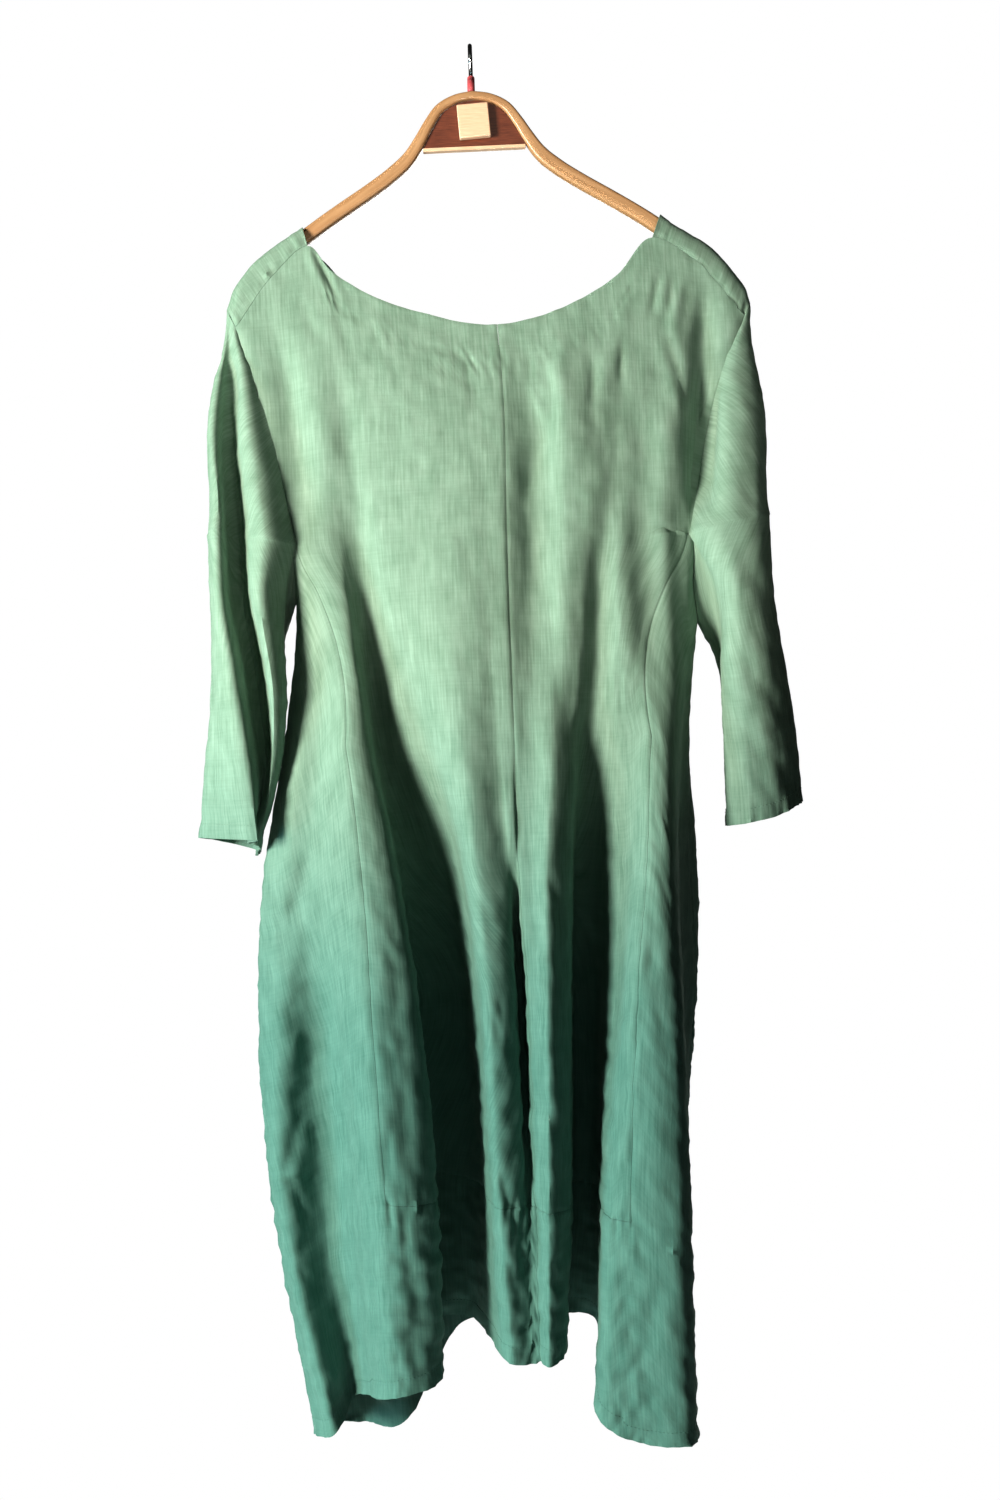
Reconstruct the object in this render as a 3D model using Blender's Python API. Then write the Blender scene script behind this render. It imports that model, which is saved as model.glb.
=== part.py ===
"""Linen dress with long sleeves, hanging on a wooden clothes hanger.

The origin is the top of the inside of the hanger's hook. +Z is up, +X is the wearer's left side as
seen from the front (the right of a front view), and the front of the dress faces -Y. Sizes in the
tables are millimetres, because a maker reads them so; the meshes are in metres.

The dress is one cloth surface. Fold lines run down it from the neck or shoulder to the hem, each
with its sideways place and its depth at eight heights. Smooth curves join the lines round the body
at every row, and the panels are the stretches of that surface between the seams.
"""

import math
from typing import NamedTuple

import bpy
import numpy as np

MM = 0.001

CLOTH = 1.6
SEAM_GAP = 0.3
THINNEST_MITRE = 0.6

BUST_Z, WAIST_Z, HIP_Z, THIGH_Z = -306.0, -598.0, -697.0, -797.0
ARMHOLE_FRONT_Y, ARMHOLE_BACK_Y = -24.0, 27.0
UNDERARM_Z, UNDERARM_DROP_LEFT, UNDERARM_DROP_RIGHT = -426.0, 44.0, 74.0
BAND_Z, BAND_SLOPE = -973.0, -0.09
LEFT_BACK_SIDE_STEPS = 3
SIDE_LINES = ("side_left", "left_edge", "left_strip", "left_valley", "right_crest", "right_edge", "side_right")
ROWS_ABOVE_UNDERARM, ROWS_TO_BAND, ROWS_IN_BAND, ROW_SPREAD = 6, 10, 3, 1.35

WOOD_DEPTH, WOOD_HEIGHT_TOP, WOOD_HEIGHT_ARM = 11.0, 7.0, 12.0
HANGER_TILT = math.radians(0.83)
PANEL_DEPTH, PANEL_BOTTOM_Z = 4.0, -84.0
BATTEN_HEIGHT, BATTEN_DEPTH = 3.0, 6.0
BLOCK_WIDTH, BLOCK_HEIGHT, BLOCK_DEPTH = 27.0, 29.0, 6.0
BLOCK_X, BLOCK_Z, BLOCK_TURN = 0.5, -64.0, math.radians(3.0)

WIRE = 3.6
HOOK_INNER_RADIUS = 13.0
HOOK_TIP_ANGLE, HOOK_BACK_ANGLE = math.radians(105.0), math.radians(-128.0)
GRIP_DIAMETER, GRIP_TOP_ANGLE = 6.4, math.radians(-112.0)


class Line(NamedTuple):
    """A fold line: the columns to the next line, and x, depth and the hem's height.

    x and y hold a place each for the top, bust, underarm, waist, hip, thigh, band and hem.
    """

    name: str
    steps: int
    x: tuple
    y: tuple
    hem_z: float


FRONT_LINES = (
    Line("side_left", 1,
         (-214, -192, -164, -180, -199, -207, -204, -171),
         (0, 2, 4, 8, 8, 8, 10, 12), -1191),
    Line("left_edge", 2,
         (-213, -191, -164, -177, -195, -204, -201, -168),
         (-3, -3, -3, -6, -8, -10, -12, -15), -1183),
    Line("left_strip", 2,
         (-212, -190, -163, -164, -177, -184, -188, -149),
         (-6, -7, -10, -24, -30, -34, -40, -44), -1172),
    Line("left_valley", 3,
         (-210, -188, -162, -146, -157, -160, -156, -137),
         (-9, -10, -17, -31, -38, -35, -28, -16), -1154),
    Line("left_princess", 3,
         (-208, -186, -160, -121, -110, -103, -95, -92),
         (-12, -14, -24, -52, -70, -90, -104, -105), -1118),
    Line("left_lip", 3,
         (-178, -143, -124, -103, -85, -70, -58, -58),
         (-12, -24, -32, -48, -64, -82, -90, -90), -1112),
    Line("undercut_left", 2,
         (-144, -116, -106, -96, -80, -72, -61, -60),
         (-12, -27, -26, -12, -5, -4, -4, -4), -1092),
    Line("undercut_right", 3,
         (-124, -96, -86, -65, -42, -34, -27, -34),
         (-14, -30, -34, -26, -14, -14, -18, -12), -1088),
    Line("centre_left_ridge", 3,
         (-84, -51, -39, -26, -16, -9, -5, 2),
         (-18, -35, -46, -60, -74, -86, -96, -104), -1095),
    Line("slit_lip_left", 2,
         (-34, -6, -3, 4, 9, 11.5, 14.5, 15),
         (-21, -34, -44, -56, -66, -76, -86, -98), -1097),
    Line("slit_left", 1,
         (-12, 2, 4, 9, 14, 14.5, 17.5, 17.5),
         (-22, -34, -44, -56, -65, -44, -82, -97), -1097),
    Line("slit_right", 2,
         (4, 11, 14, 16, 17.5, 20.5, 20.5, 20.5),
         (-22, -34, -44, -56, -65, -44, -82, -97), -1097),
    Line("centre_seam", 2,
         (16, 19, 18, 19, 19, 23, 24, 24),
         (-22, -34, -43, -56, -66, -76, -86, -98), -1095),
    Line("centre_swell", 2,
         (42, 44, 38, 33, 31, 31, 30, 28),
         (-21, -31, -39, -55, -70, -84, -96, -105), -1096),
    Line("centre_right_ridge", 2,
         (67, 67, 62, 52, 43, 40, 35, 31),
         (-20, -38, -46, -62, -80, -94, -104, -108), -1096),
    Line("centre_right_flank", 3,
         (94, 91, 81, 68, 62, 57, 51, 43),
         (-18, -34, -41, -52, -62, -72, -82, -94), -1094),
    Line("right_valley_left", 2,
         (120, 105, 94, 79, 69, 65, 59, 50),
         (-16, -32, -37, -38, -20, -6, -4, -4), -1091),
    Line("right_valley_right", 3,
         (151, 118, 107, 94, 84, 81, 77, 74),
         (-12, -29, -35, -37, -22, -12, -10, -10), -1094),
    Line("right_lip", 4,
         (190, 136, 124, 112, 103, 95, 80, 71),
         (-12, -27, -34, -47, -48, -58, -98, -106), -1142),
    Line("right_princess", 2,
         (228, 200, 173, 133, 124, 112, 99, 102),
         (-12, -14, -24, -56, -78, -98, -112, -114), -1150),
    Line("right_crest", 2,
         (231, 204, 177, 152, 144, 142, 140, 139),
         (-7, -8, -14, -50, -76, -97, -115, -117), -1160),
    Line("right_edge", 1,
         (232, 206, 180, 164, 158, 156, 152, 151),
         (-3, -3, -5, -12, -15, -20, -36, -48), -1178),
    Line("side_right", 2,
         (233, 207, 181, 171, 170, 171, 156, 156),
         (0, 2, 4, 10, 18, 22, 14, 6), -1172),
)

BACK_LINES = (
    Line("back_left", 3,
         (-208, -187, -163, -174, -188, -195, -190, -166),
         (12, 18, 27, 36, 42, 46, 48, 48), -1200),
    Line("back_ridge_1", 3,
         (-178, -150, -136, -146, -150, -151, -147, -138),
         (12, 24, 38, 54, 66, 74, 82, 84), -1216),
    Line("back_valley_1", 3,
         (-144, -118, -108, -108, -108, -106, -102, -97),
         (12, 22, 30, 34, 36, 39, 42, 42), -1200),
    Line("back_ridge_2", 3,
         (-96, -76, -68, -66, -62, -58, -54, -50),
         (16, 28, 40, 52, 62, 72, 81, 87), -1134),
    Line("back_valley_2", 3,
         (-46, -36, -31, -27, -22, -18, -14, -12),
         (20, 25, 31, 35, 37, 39, 42, 42), -1104),
    Line("back_ridge_3", 3,
         (8, 6, 6, 13, 21, 27, 32, 34),
         (22, 30, 42, 56, 68, 78, 87, 93), -1092),
    Line("back_valley_3", 3,
         (60, 52, 49, 55, 61, 66, 70, 72),
         (20, 25, 31, 35, 37, 39, 42, 42), -1090),
    Line("back_ridge_4", 3,
         (112, 100, 96, 100, 105, 108, 109, 110),
         (16, 28, 40, 54, 64, 73, 82, 88), -1098),
    Line("back_swell", 3,
         (151, 138, 134, 134, 138, 140, 138, 137),
         (12, 24, 33, 42, 50, 56, 58, 58), -1122),
)
BACK_SHOULDER = Line("back_shoulder", 4,
    (190, 170, 156, 156, 164, 163, 150, 150),
    (12, 22, 31, 42, 60, 68, 66, 60), -1142)
BACK_RIGHT = Line("back_right", 2,
    (228, 200, 174, 170, 178, 176, 156, 158),
    (12, 17, 26, 34, 50, 56, 50, 44), -1150)

NECK_EDGE = (
    (-144, -169), (-124, -192), (-105, -206), (-84, -218), (-43, -233), (10, -244),
    (54, -237), (84, -225), (106, -213), (124, -200), (138, -188), (151, -171),
)
BACK_NECK_RISE = -2.0
SHOULDER_SEAM_Z = {-178: -197, -208: -236, 190: -194, 228: -240}
SEAM_BOW = {"left_princess": 12.0, "right_princess": -16.0}

SHOULDER_TOP_LEFT = (
    (-217, -219), (-210, -199), (-199, -186), (-186, -174.5), (-174, -166), (-161, -157.5), (-149, -149.6),
)
SHOULDER_TOP_RIGHT = (
    (159, -149), (171, -157.5), (183, -165), (195, -173),
    (208, -184.5), (220, -199), (229, -212), (234, -226),
)
YOKE_STEPS = 12
YOKE_SQUARENESS = 2.5

HANGER_EDGE = (
    (0, -37), (15, -39.5), (31.5, -48), (42, -61), (50.5, -74), (60, -87), (75, -100), (94, -113),
    (115, -126), (135.5, -139.0), (150, -148.8), (168, -162.1), (186, -175.6), (202, -188.6),
)


BOW_SECTION = (
    (0.0, 0.30), (0.0, -0.30), (0.12, -0.46), (0.5, -0.5), (0.88, -0.46), (1.0, -0.30),
    (1.0, 0.30), (0.88, 0.46), (0.5, 0.5), (0.12, 0.46),
)
BOW_TAPER_RUN, BOW_END_RUN, BOW_END_SHARE = 90.0, 12.0, 0.45
PANEL_REACH_LIMIT = 60.0
HOOK_STEM = ((3.4, -27.6), (0.8, -31.0), (0.0, -33.6))
GRIP_GAP = 0.42


class SleeveLine(NamedTuple):
    """A line down a sleeve: distance out from the middle and depth at three heights and at the cuff."""

    name: str
    steps: int
    out: tuple
    y: tuple
    cuff_z: float


SLEEVE_STATION_SHARE = (0.16, 0.52, 0.8)
SLEEVE_ROWS = 9
SLEEVE_CAP_BULGE = 13.0
CAP_LIFT, CAP_HOLD = 14.0, 0.3
LEFT_SLEEVE = (
    SleeveLine("back_seam", 1, (186, 190, 202, 211), (36, 42, 44, 42), -688),
    SleeveLine("back", 2, (208, 214, 222, 230), (50, 52, 50, 46), -682),
    SleeveLine("outer_back", 2, (233, 236, 243, 247), (32, 34, 32, 28), -676),
    SleeveLine("outer", 2, (237, 240, 247, 252), (-2, -4, -6, -6), -672),
    SleeveLine("lip", 2, (225, 213, 202, 198), (-34, -42, -46, -46), -674),
    SleeveLine("groove", 2, (211, 199, 194, 208), (-9, -10, -20, -28), -677),
    SleeveLine("ridge", 1, (188, 180, 187, 200), (-46, -47, -34, -22), -680),
    SleeveLine("front_seam", 0, (172, 173, 184, 203), (-25, -26, -21, -12), -684),
)
LEFT_INNER = SleeveLine("inner", 0, (176, 186, 198, 207), (4, 5, 6, 6), -690)
RIGHT_SLEEVE = (
    SleeveLine("back_seam", 1, (200, 209, 211, 211), (38, 42, 40, 38), -672),
    SleeveLine("back", 2, (216, 226, 234, 238), (50, 52, 50, 48), -666),
    SleeveLine("outer_back", 2, (237, 249, 258, 261), (32, 34, 32, 30), -660),
    SleeveLine("outer", 2, (242, 254, 263, 265), (-2, 0, 0, 0), -656),
    SleeveLine("lip", 2, (240, 247, 253, 255), (-28, -28, -28, -28), -660),
    SleeveLine("groove", 2, (226, 231, 235, 235), (-42, -43, -43, -43), -668),
    SleeveLine("ridge", 1, (205, 209, 211, 210), (-45, -45, -44, -44), -673),
    SleeveLine("front_seam", 0, (194, 197, 198, 198), (-30, -30, -30, -30), -675),
)
RIGHT_INNER = SleeveLine("inner", 0, (198, 203, 204, 204), (6, 7, 7, 6), -676)


def clear_scene():
    """Removes whatever the scene holds, so that only this model is in it."""
    for old in list(bpy.data.objects):
        bpy.data.objects.remove(old)


def finish_material(name, colour, roughness, metallic=0.0):
    """A Principled material of one colour."""
    material = bpy.data.materials.new(name)
    material.use_nodes = True
    shader = material.node_tree.nodes["Principled BSDF"]
    shader.inputs["Base Color"].default_value = (*colour, 1.0)
    shader.inputs["Roughness"].default_value = roughness
    shader.inputs["Metallic"].default_value = metallic
    return material


def add_object(name, points_mm, faces, material, smooth=True):
    """A mesh object from points in millimetres and faces of point numbers."""
    mesh = bpy.data.meshes.new(name)
    mesh.from_pydata((np.asarray(points_mm, float) * MM).tolist(), [], [list(face) for face in faces])
    if smooth:
        mesh.shade_smooth()
        mesh.set_sharp_from_angle(angle=math.radians(40.0))
    mesh.materials.append(material)
    made = bpy.data.objects.new(name, mesh)
    bpy.context.scene.collection.objects.link(made)
    return made


def slopes(knots, values, level_turns):
    """Slope at each knot of a curve through the values, from its two neighbours.

    With level_turns the slope is nought at each high or low point, so the curve never passes it.
    """
    steps = np.diff(knots)[:, None]
    rises = np.diff(values, axis=0) / steps
    inner = (rises[:-1] * steps[1:] + rises[1:] * steps[:-1]) / (steps[1:] + steps[:-1])
    if level_turns:
        inner = np.where(rises[:-1] * rises[1:] <= 0, 0.0, inner)
    return np.concatenate([rises[:1], inner, rises[-1:]])


def curve_through(knots, values, at, level_turns=False):
    """A smooth curve through values at rising knots, read at the places given."""
    knots = np.asarray(knots, float)
    values = np.asarray(values, float)
    flat = values.ndim == 1
    values = values.reshape(len(knots), -1)
    slope = slopes(knots, values, level_turns)
    at = np.clip(np.asarray(at, float), knots[0], knots[-1])
    span = np.clip(np.searchsorted(knots, at, side="right") - 1, 0, len(knots) - 2)
    width = (knots[span + 1] - knots[span])[:, None]
    t = ((at - knots[span])[:, None]) / width
    found = (
        values[span] * (1 + 2 * t) * (1 - t) ** 2
        + slope[span] * width * t * (1 - t) ** 2
        + values[span + 1] * t**2 * (3 - 2 * t)
        - slope[span + 1] * width * t**2 * (1 - t)
    )
    return found[:, 0] if flat else found


def outline_height(outline, x):
    """Height of a smooth outline of (x, z) points at x."""
    points = np.array(outline, float)
    return float(curve_through(points[:, 0], points[:, 1], [x])[0])


def band_height(x):
    """The gathered band's seam sinks a little towards the right."""
    return BAND_Z + BAND_SLOPE * x


def top_height(line):
    """Height where a fold line begins: on the shoulder seam or on the neck edge."""
    x = line.x[0]
    if x in SHOULDER_SEAM_Z:
        return SHOULDER_SEAM_Z[x]
    if abs(x) > 209:
        return SHOULDER_SEAM_Z[-208] if x < 0 else SHOULDER_SEAM_Z[228]
    rise = BACK_NECK_RISE if line.name.startswith("back") and -144 < x < 151 else 0.0
    return outline_height(NECK_EDGE, x) + rise


def underarm_height(line):
    """The armhole's bottom dips between the front and the back edge of the sleeve's opening."""
    if line.name not in SIDE_LINES:
        return UNDERARM_Z
    middle, half = (ARMHOLE_FRONT_Y + ARMHOLE_BACK_Y) / 2, (ARMHOLE_BACK_Y - ARMHOLE_FRONT_Y) / 2
    drop = UNDERARM_DROP_LEFT if line.x[2] < 0 else UNDERARM_DROP_RIGHT
    return UNDERARM_Z - drop * (1 - ((line.y[2] - middle) / half) ** 2)


def line_points(line):
    """The points of a fold line at every row, from its top to its hem."""
    under = underarm_height(line)
    band = band_height(line.x[6])
    heights = (top_height(line), BUST_Z, under, WAIST_Z, HIP_Z, THIGH_Z, band, line.hem_z)
    rows = np.concatenate([
        np.linspace(heights[0], under, ROWS_ABOVE_UNDERARM + 1),
        under + (band - under) * np.linspace(0.0, 1.0, ROWS_TO_BAND + 1)[1:] ** ROW_SPREAD,
        np.linspace(band, line.hem_z, ROWS_IN_BAND + 1)[1:],
    ])
    sideways_and_depth = np.column_stack([line.x, line.y])
    found = curve_through(-np.array(heights), sideways_and_depth, -rows)
    share = np.clip((rows - under) / (WAIST_Z - under), 0.0, 1.0)
    found[:, 0] += SEAM_BOW.get(line.name, 0.0) * np.sin(math.pi * share)
    return np.column_stack([found, rows])


def across_row(points, steps, closed):
    """Points along a smooth curve through the fold lines of one row, steps to each span."""
    count = len(points)
    if closed:
        wrapped = np.concatenate([points[-3:], points, points[:4]])
        first = 3
    else:
        wrapped, first = points, 0
    chords = np.linalg.norm(np.diff(wrapped, axis=0), axis=1)
    knots = np.concatenate([[0.0], np.cumsum(np.sqrt(chords))])
    spans = count if closed else count - 1
    at = [
        knots[first + span] + (knots[first + span + 1] - knots[first + span]) * step / steps[span]
        for span in range(spans)
        for step in range(steps[span])
    ]
    if not closed:
        at.append(knots[-1])
    plan = curve_through(knots, wrapped[:, :2], at)
    heights = curve_through(knots, wrapped[:, 2], at, level_turns=True)
    return np.column_stack([plan, heights])


class Cloth:
    """The whole garment as one surface: shared points, and the faces of each panel."""

    def __init__(self):
        self.points = []
        self.number = {}
        self.panels = {}

    def point(self, place):
        """The number of a point, the same for all panels that share it."""
        key = tuple(np.round(np.asarray(place, float), 3) + 0.0)
        if key not in self.number:
            self.number[key] = len(self.points)
            self.points.append(key)
        return self.number[key]

    def add(self, panel, grid, keep=None, turned=False):
        """Adds a grid of points to a panel, rows first. keep(row, column) says which cells it has."""
        rows, columns = grid.shape[:2]
        for r in range(rows - 1):
            for c in range(columns - 1):
                if keep is None or keep(r, c):
                    corners = (grid[r, c], grid[r + 1, c], grid[r + 1, c + 1], grid[r, c + 1])
                    face = tuple(self.point(corner) for corner in corners)
                    self.panels.setdefault(panel, []).append(face[::-1] if turned else face)

    def normals(self):
        """Outward direction at each point, and how much longer a wall's edge is there at a crease.

        Each face counts by its corner's angle, so a seam at a sharp turn points midway between its sides.
        """
        points = np.array(self.points)
        faces = np.array([face for panel in self.panels.values() for face in panel])
        first, second, third, fourth = (points[faces[:, corner]] for corner in range(4))
        normals = np.cross(third - first, fourth - second)
        normals /= np.linalg.norm(normals, axis=1)[:, None]
        outward = np.zeros_like(points)
        angles = []
        for corner in range(4):
            ahead = points[faces[:, (corner + 1) % 4]] - points[faces[:, corner]]
            behind = points[faces[:, (corner + 3) % 4]] - points[faces[:, corner]]
            lengths = np.linalg.norm(ahead, axis=1) * np.linalg.norm(behind, axis=1)
            angles.append(np.arccos(np.clip((ahead * behind).sum(axis=1) / lengths, -1.0, 1.0)))
            np.add.at(outward, faces[:, corner], normals * angles[-1][:, None])
        outward /= np.linalg.norm(outward, axis=1)[:, None]
        lean, weight = np.zeros(len(points)), np.zeros(len(points))
        for corner in range(4):
            agreement = (normals * outward[faces[:, corner]]).sum(axis=1)
            np.add.at(lean, faces[:, corner], agreement * angles[corner])
            np.add.at(weight, faces[:, corner], angles[corner])
        return outward, 1 / np.maximum(lean / weight, THINNEST_MITRE)

    def seam_edges(self):
        """Edges that two panels share."""
        owners = {}
        for name, faces in self.panels.items():
            for face in faces:
                for start, end in zip(face, face[1:] + face[:1]):
                    owners.setdefault(frozenset((start, end)), set()).add(name)
        return {edge for edge, names in owners.items() if len(names) > 1}

    def wall(self, name, outward, mitre, seams):
        """Points and faces of one panel as a closed wall, drawn back a little from its seams."""
        faces = self.panels[name]
        edges = {(a, b) for face in faces for a, b in zip(face, face[1:] + face[:1])}
        border = [(a, b) for a, b in edges if (b, a) not in edges]
        places = np.array(self.points)
        pull = {}
        for a, b in border:
            if frozenset((a, b)) not in seams:
                continue
            along = places[b] - places[a]
            for end in (a, b):
                inward = np.cross(outward[end], along)
                pull.setdefault(end, []).append(inward / np.linalg.norm(inward))
        for number, directions in pull.items():
            middle = np.mean(directions, axis=0)
            shrink = middle / max(float(middle @ middle), 0.3)
            places[number] = places[number] + shrink * SEAM_GAP / 2
        used = sorted({number for face in faces for number in face})
        index = {number: i for i, number in enumerate(used)}
        half = outward[used] * (mitre[used] * CLOTH / 2)[:, None]
        shell = np.concatenate([places[used] + half, places[used] - half])
        inner = len(used)
        made = []
        for face in faces:
            a, b, c, d = (index[number] for number in face)
            made += [(a, b, c), (a, c, d)]
            made += [(c + inner, b + inner, a + inner), (d + inner, c + inner, a + inner)]
        for start, end in border:
            a, b = index[start], index[end]
            if start < end:
                made += [(b, a, a + inner), (b, a + inner, b + inner)]
            else:
                made += [(b, a, b + inner), (a, a + inner, b + inner)]
        return shell, made


def body_lines():
    """Fold lines in order round the body: along the front to the right, then back along the back."""
    back = list(BACK_LINES) + [BACK_SHOULDER, BACK_RIGHT]
    return list(FRONT_LINES) + back[::-1]


def body_steps(lines):
    """Columns in each span of the ring. A back line's own steps lead to its right-hand neighbour."""
    steps = [line.steps for line in FRONT_LINES]
    back = lines[len(FRONT_LINES):]
    steps += [line.steps for line in back[1:]]
    return steps + [LEFT_BACK_SIDE_STEPS]


def body_grid():
    """The whole body surface, rows by columns, and the column at which each fold line stands."""
    lines = body_lines()
    steps = body_steps(lines)
    tracks = np.array([line_points(line) for line in lines])
    rows = [across_row(tracks[:, row], steps, closed=True) for row in range(tracks.shape[1])]
    grid = np.array(rows)
    grid = np.concatenate([grid, grid[:, :1]], axis=1)
    starts = np.concatenate([[0], np.cumsum(steps)])
    column = {line.name: int(start) for line, start in zip(lines, starts)}
    column["round"] = int(starts[-1])
    return grid, column


def add_body(cloth, grid, column):
    """The front, side and back panels: the cells of the body surface between their seams."""
    under = ROWS_ABOVE_UNDERARM
    band = under + ROWS_TO_BAND
    left, centre, right = (column[name] for name in ("left_princess", "centre_seam", "right_princess"))
    side, back_right, back_left = column["side_right"], column["back_right"], column["back_left"]
    cloth.add("front_left", grid, lambda r, c: left <= c < centre and r < band)
    cloth.add("front_right", grid, lambda r, c: centre <= c < right and r < band)
    cloth.add("side_left", grid, lambda r, c: c < centre and r >= (under if c < left else band))
    cloth.add("side_right", grid, lambda r, c: centre <= c < side and r >= (band if c < right else under))
    cloth.add("back", grid, lambda r, c: (back_right <= c < back_left) or (c >= side and r >= under))


def yoke_grid(front_edge, back_edge, top):
    """A strip over the hanger's arm. Rows run from the back seam over the top to the front seam.

    Each cross section is a squared half ellipse between its two seam points, as high as the
    shoulder's top there.
    """
    places = np.array(top, float)
    share = np.linspace(0.0, 1.0, len(front_edge))
    crown = curve_through(np.linspace(0.0, 1.0, len(places)), places, share)
    rows = []
    for turn in np.linspace(0.0, math.pi, YOKE_STEPS + 1):
        across = -math.copysign(abs(math.cos(turn)) ** (2 / YOKE_SQUARENESS), math.cos(turn))
        lift = abs(math.sin(turn)) ** (2 / YOKE_SQUARENESS)
        seam = back_edge + (front_edge - back_edge) * (1 + across) / 2
        level = seam.copy()
        level[:, 0] += (crown[:, 0] - seam[:, 0]) * lift
        level[:, 2] += (crown[:, 1] - seam[:, 2]) * lift
        rows.append(level)
    rows[0], rows[-1] = back_edge, front_edge
    return np.array(rows)


def sleeve_section(lines, inner, station, inner_steps):
    """One closed section of a sleeve: round its outside from the back seam, then its inside."""
    around = list(lines) + [inner]
    points = np.array([(line.out[station], line.y[station], 0.0) for line in around])
    half = inner_steps // 2
    steps = [line.steps for line in lines[:-1]] + [half, inner_steps - half]
    ring = across_row(points, steps, closed=True)[:, :2]
    ends = np.array([line.cuff_z for line in around], float)
    places = np.concatenate([[0], np.cumsum(steps)])
    heights = np.interp(np.arange(len(ring)), places, np.append(ends, ends[0]))
    return ring, heights


def sleeve_grids(lines, inner, outward_sign, yoke_end, armhole_front, armhole_back, underarm):
    """The sleeve's cap and its tube.

    The cap is the surface spanned between the shoulder strip's end, the armhole's two edges and the
    tube's top, with a little bulge. The tube runs on from there and from the underarm to the cuff.
    yoke_end runs from back to front, underarm from front to back.
    """
    inner_steps = len(underarm) - 1
    cap_columns = len(yoke_end)
    sections, cuff_heights = [], None
    for station in range(4):
        ring, cuff_heights = sleeve_section(lines, inner, station, inner_steps)
        sections.append(ring * (outward_sign, 1.0))
    share = np.linspace(0.0, 1.0, cap_columns)
    start_z = UNDERARM_Z + CAP_LIFT * np.sin(math.pi * share)
    bottom = np.column_stack([sections[0][:cap_columns], start_z])
    for end, seam, distance in ((0, armhole_back[-1], share), (-1, armhole_front[-1], 1 - share)):
        hold = np.clip(1 - distance / CAP_HOLD, 0.0, 1.0)[:, None] ** 2
        bottom = bottom + (seam - bottom[end]) * hold
    bottom[0], bottom[-1] = armhole_back[-1], armhole_front[-1]
    cap = []
    for row, down in enumerate(np.linspace(0.0, 1.0, len(armhole_front))):
        edges = armhole_back[row] * (1 - share[:, None]) + armhole_front[row] * share[:, None]
        ends = yoke_end * (1 - down) + bottom * down
        corners = (
            (yoke_end[0] * (1 - down) + bottom[0] * down) * (1 - share[:, None])
            + (yoke_end[-1] * (1 - down) + bottom[-1] * down) * share[:, None]
        )
        bulge = SLEEVE_CAP_BULGE * math.sin(math.pi * down) * np.sin(math.pi * share)
        level = edges + ends - corners
        level[:, 0] += outward_sign * bulge
        cap.append(level)
    cap[0], cap[-1] = yoke_end, bottom
    top = np.concatenate([bottom, underarm[1:-1]])
    tube = []
    for number, start in enumerate(top):
        fall = cuff_heights[number] - start[2]
        heights = [start[2] + fall * share_down for share_down in (0.0, *SLEEVE_STATION_SHARE, 1.0)]
        plan = [start[:2], *(section[number] for section in sections)]
        at = heights[0] + (heights[-1] - heights[0]) * np.linspace(0.0, 1.0, SLEEVE_ROWS + 1) ** ROW_SPREAD
        found = curve_through(-np.array(heights), np.array(plan), -at)
        tube.append(np.column_stack([found, at]))
    tube = np.array(tube).transpose(1, 0, 2)
    tube = np.concatenate([tube, tube[:, :1]], axis=1)
    return np.array(cap), tube


def add_sleeves_and_yokes(cloth, grid, column):
    """Shoulder strips over the hanger's arms, and the sleeves that hang from the armholes."""
    under = ROWS_ABOVE_UNDERARM
    names = {
        "left": ("left_princess", "undercut_left", "back_left", "back_valley_1"),
        "right": ("right_valley_right", "right_princess", "back_swell", "back_right"),
    }
    tops = {"left": SHOULDER_TOP_LEFT, "right": SHOULDER_TOP_RIGHT}
    for side, (front_start, front_end, back_start, back_end) in names.items():
        front = grid[0, column[front_start]: column[front_end] + 1]
        back = grid[0, column[back_end]: column[back_start] + 1][::-1]
        yoke = yoke_grid(front, back, tops[side])
        cloth.add("shoulder_" + side, yoke)
        is_left = side == "left"
        tip = 0 if is_left else -1
        front_column = column["left_princess" if is_left else "right_princess"]
        back_column = column["back_left" if is_left else "back_right"]
        if is_left:
            wrapped = np.concatenate([grid[under, back_column:], grid[under, 1: front_column + 1]])
            underarm = wrapped[::-1]
        else:
            underarm = grid[under, front_column: back_column + 1]
        cap, tube = sleeve_grids(
            LEFT_SLEEVE if is_left else RIGHT_SLEEVE,
            LEFT_INNER if is_left else RIGHT_INNER,
            -1.0 if is_left else 1.0,
            yoke[:, tip],
            grid[: under + 1, front_column],
            grid[: under + 1, back_column],
            underarm,
        )
        cloth.add("sleeve_" + side, cap, turned=not is_left)
        cloth.add("sleeve_" + side, tube, turned=not is_left)


def tilted(points):
    """Points of the hanger turned about the hook, because one arm hangs a little higher."""
    places = np.asarray(points, float)
    x, z = places[:, 0].copy(), places[:, 2].copy()
    turned = places.copy()
    turned[:, 0] = x * math.cos(HANGER_TILT) - z * math.sin(HANGER_TILT)
    turned[:, 2] = x * math.sin(HANGER_TILT) + z * math.cos(HANGER_TILT)
    return turned


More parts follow.
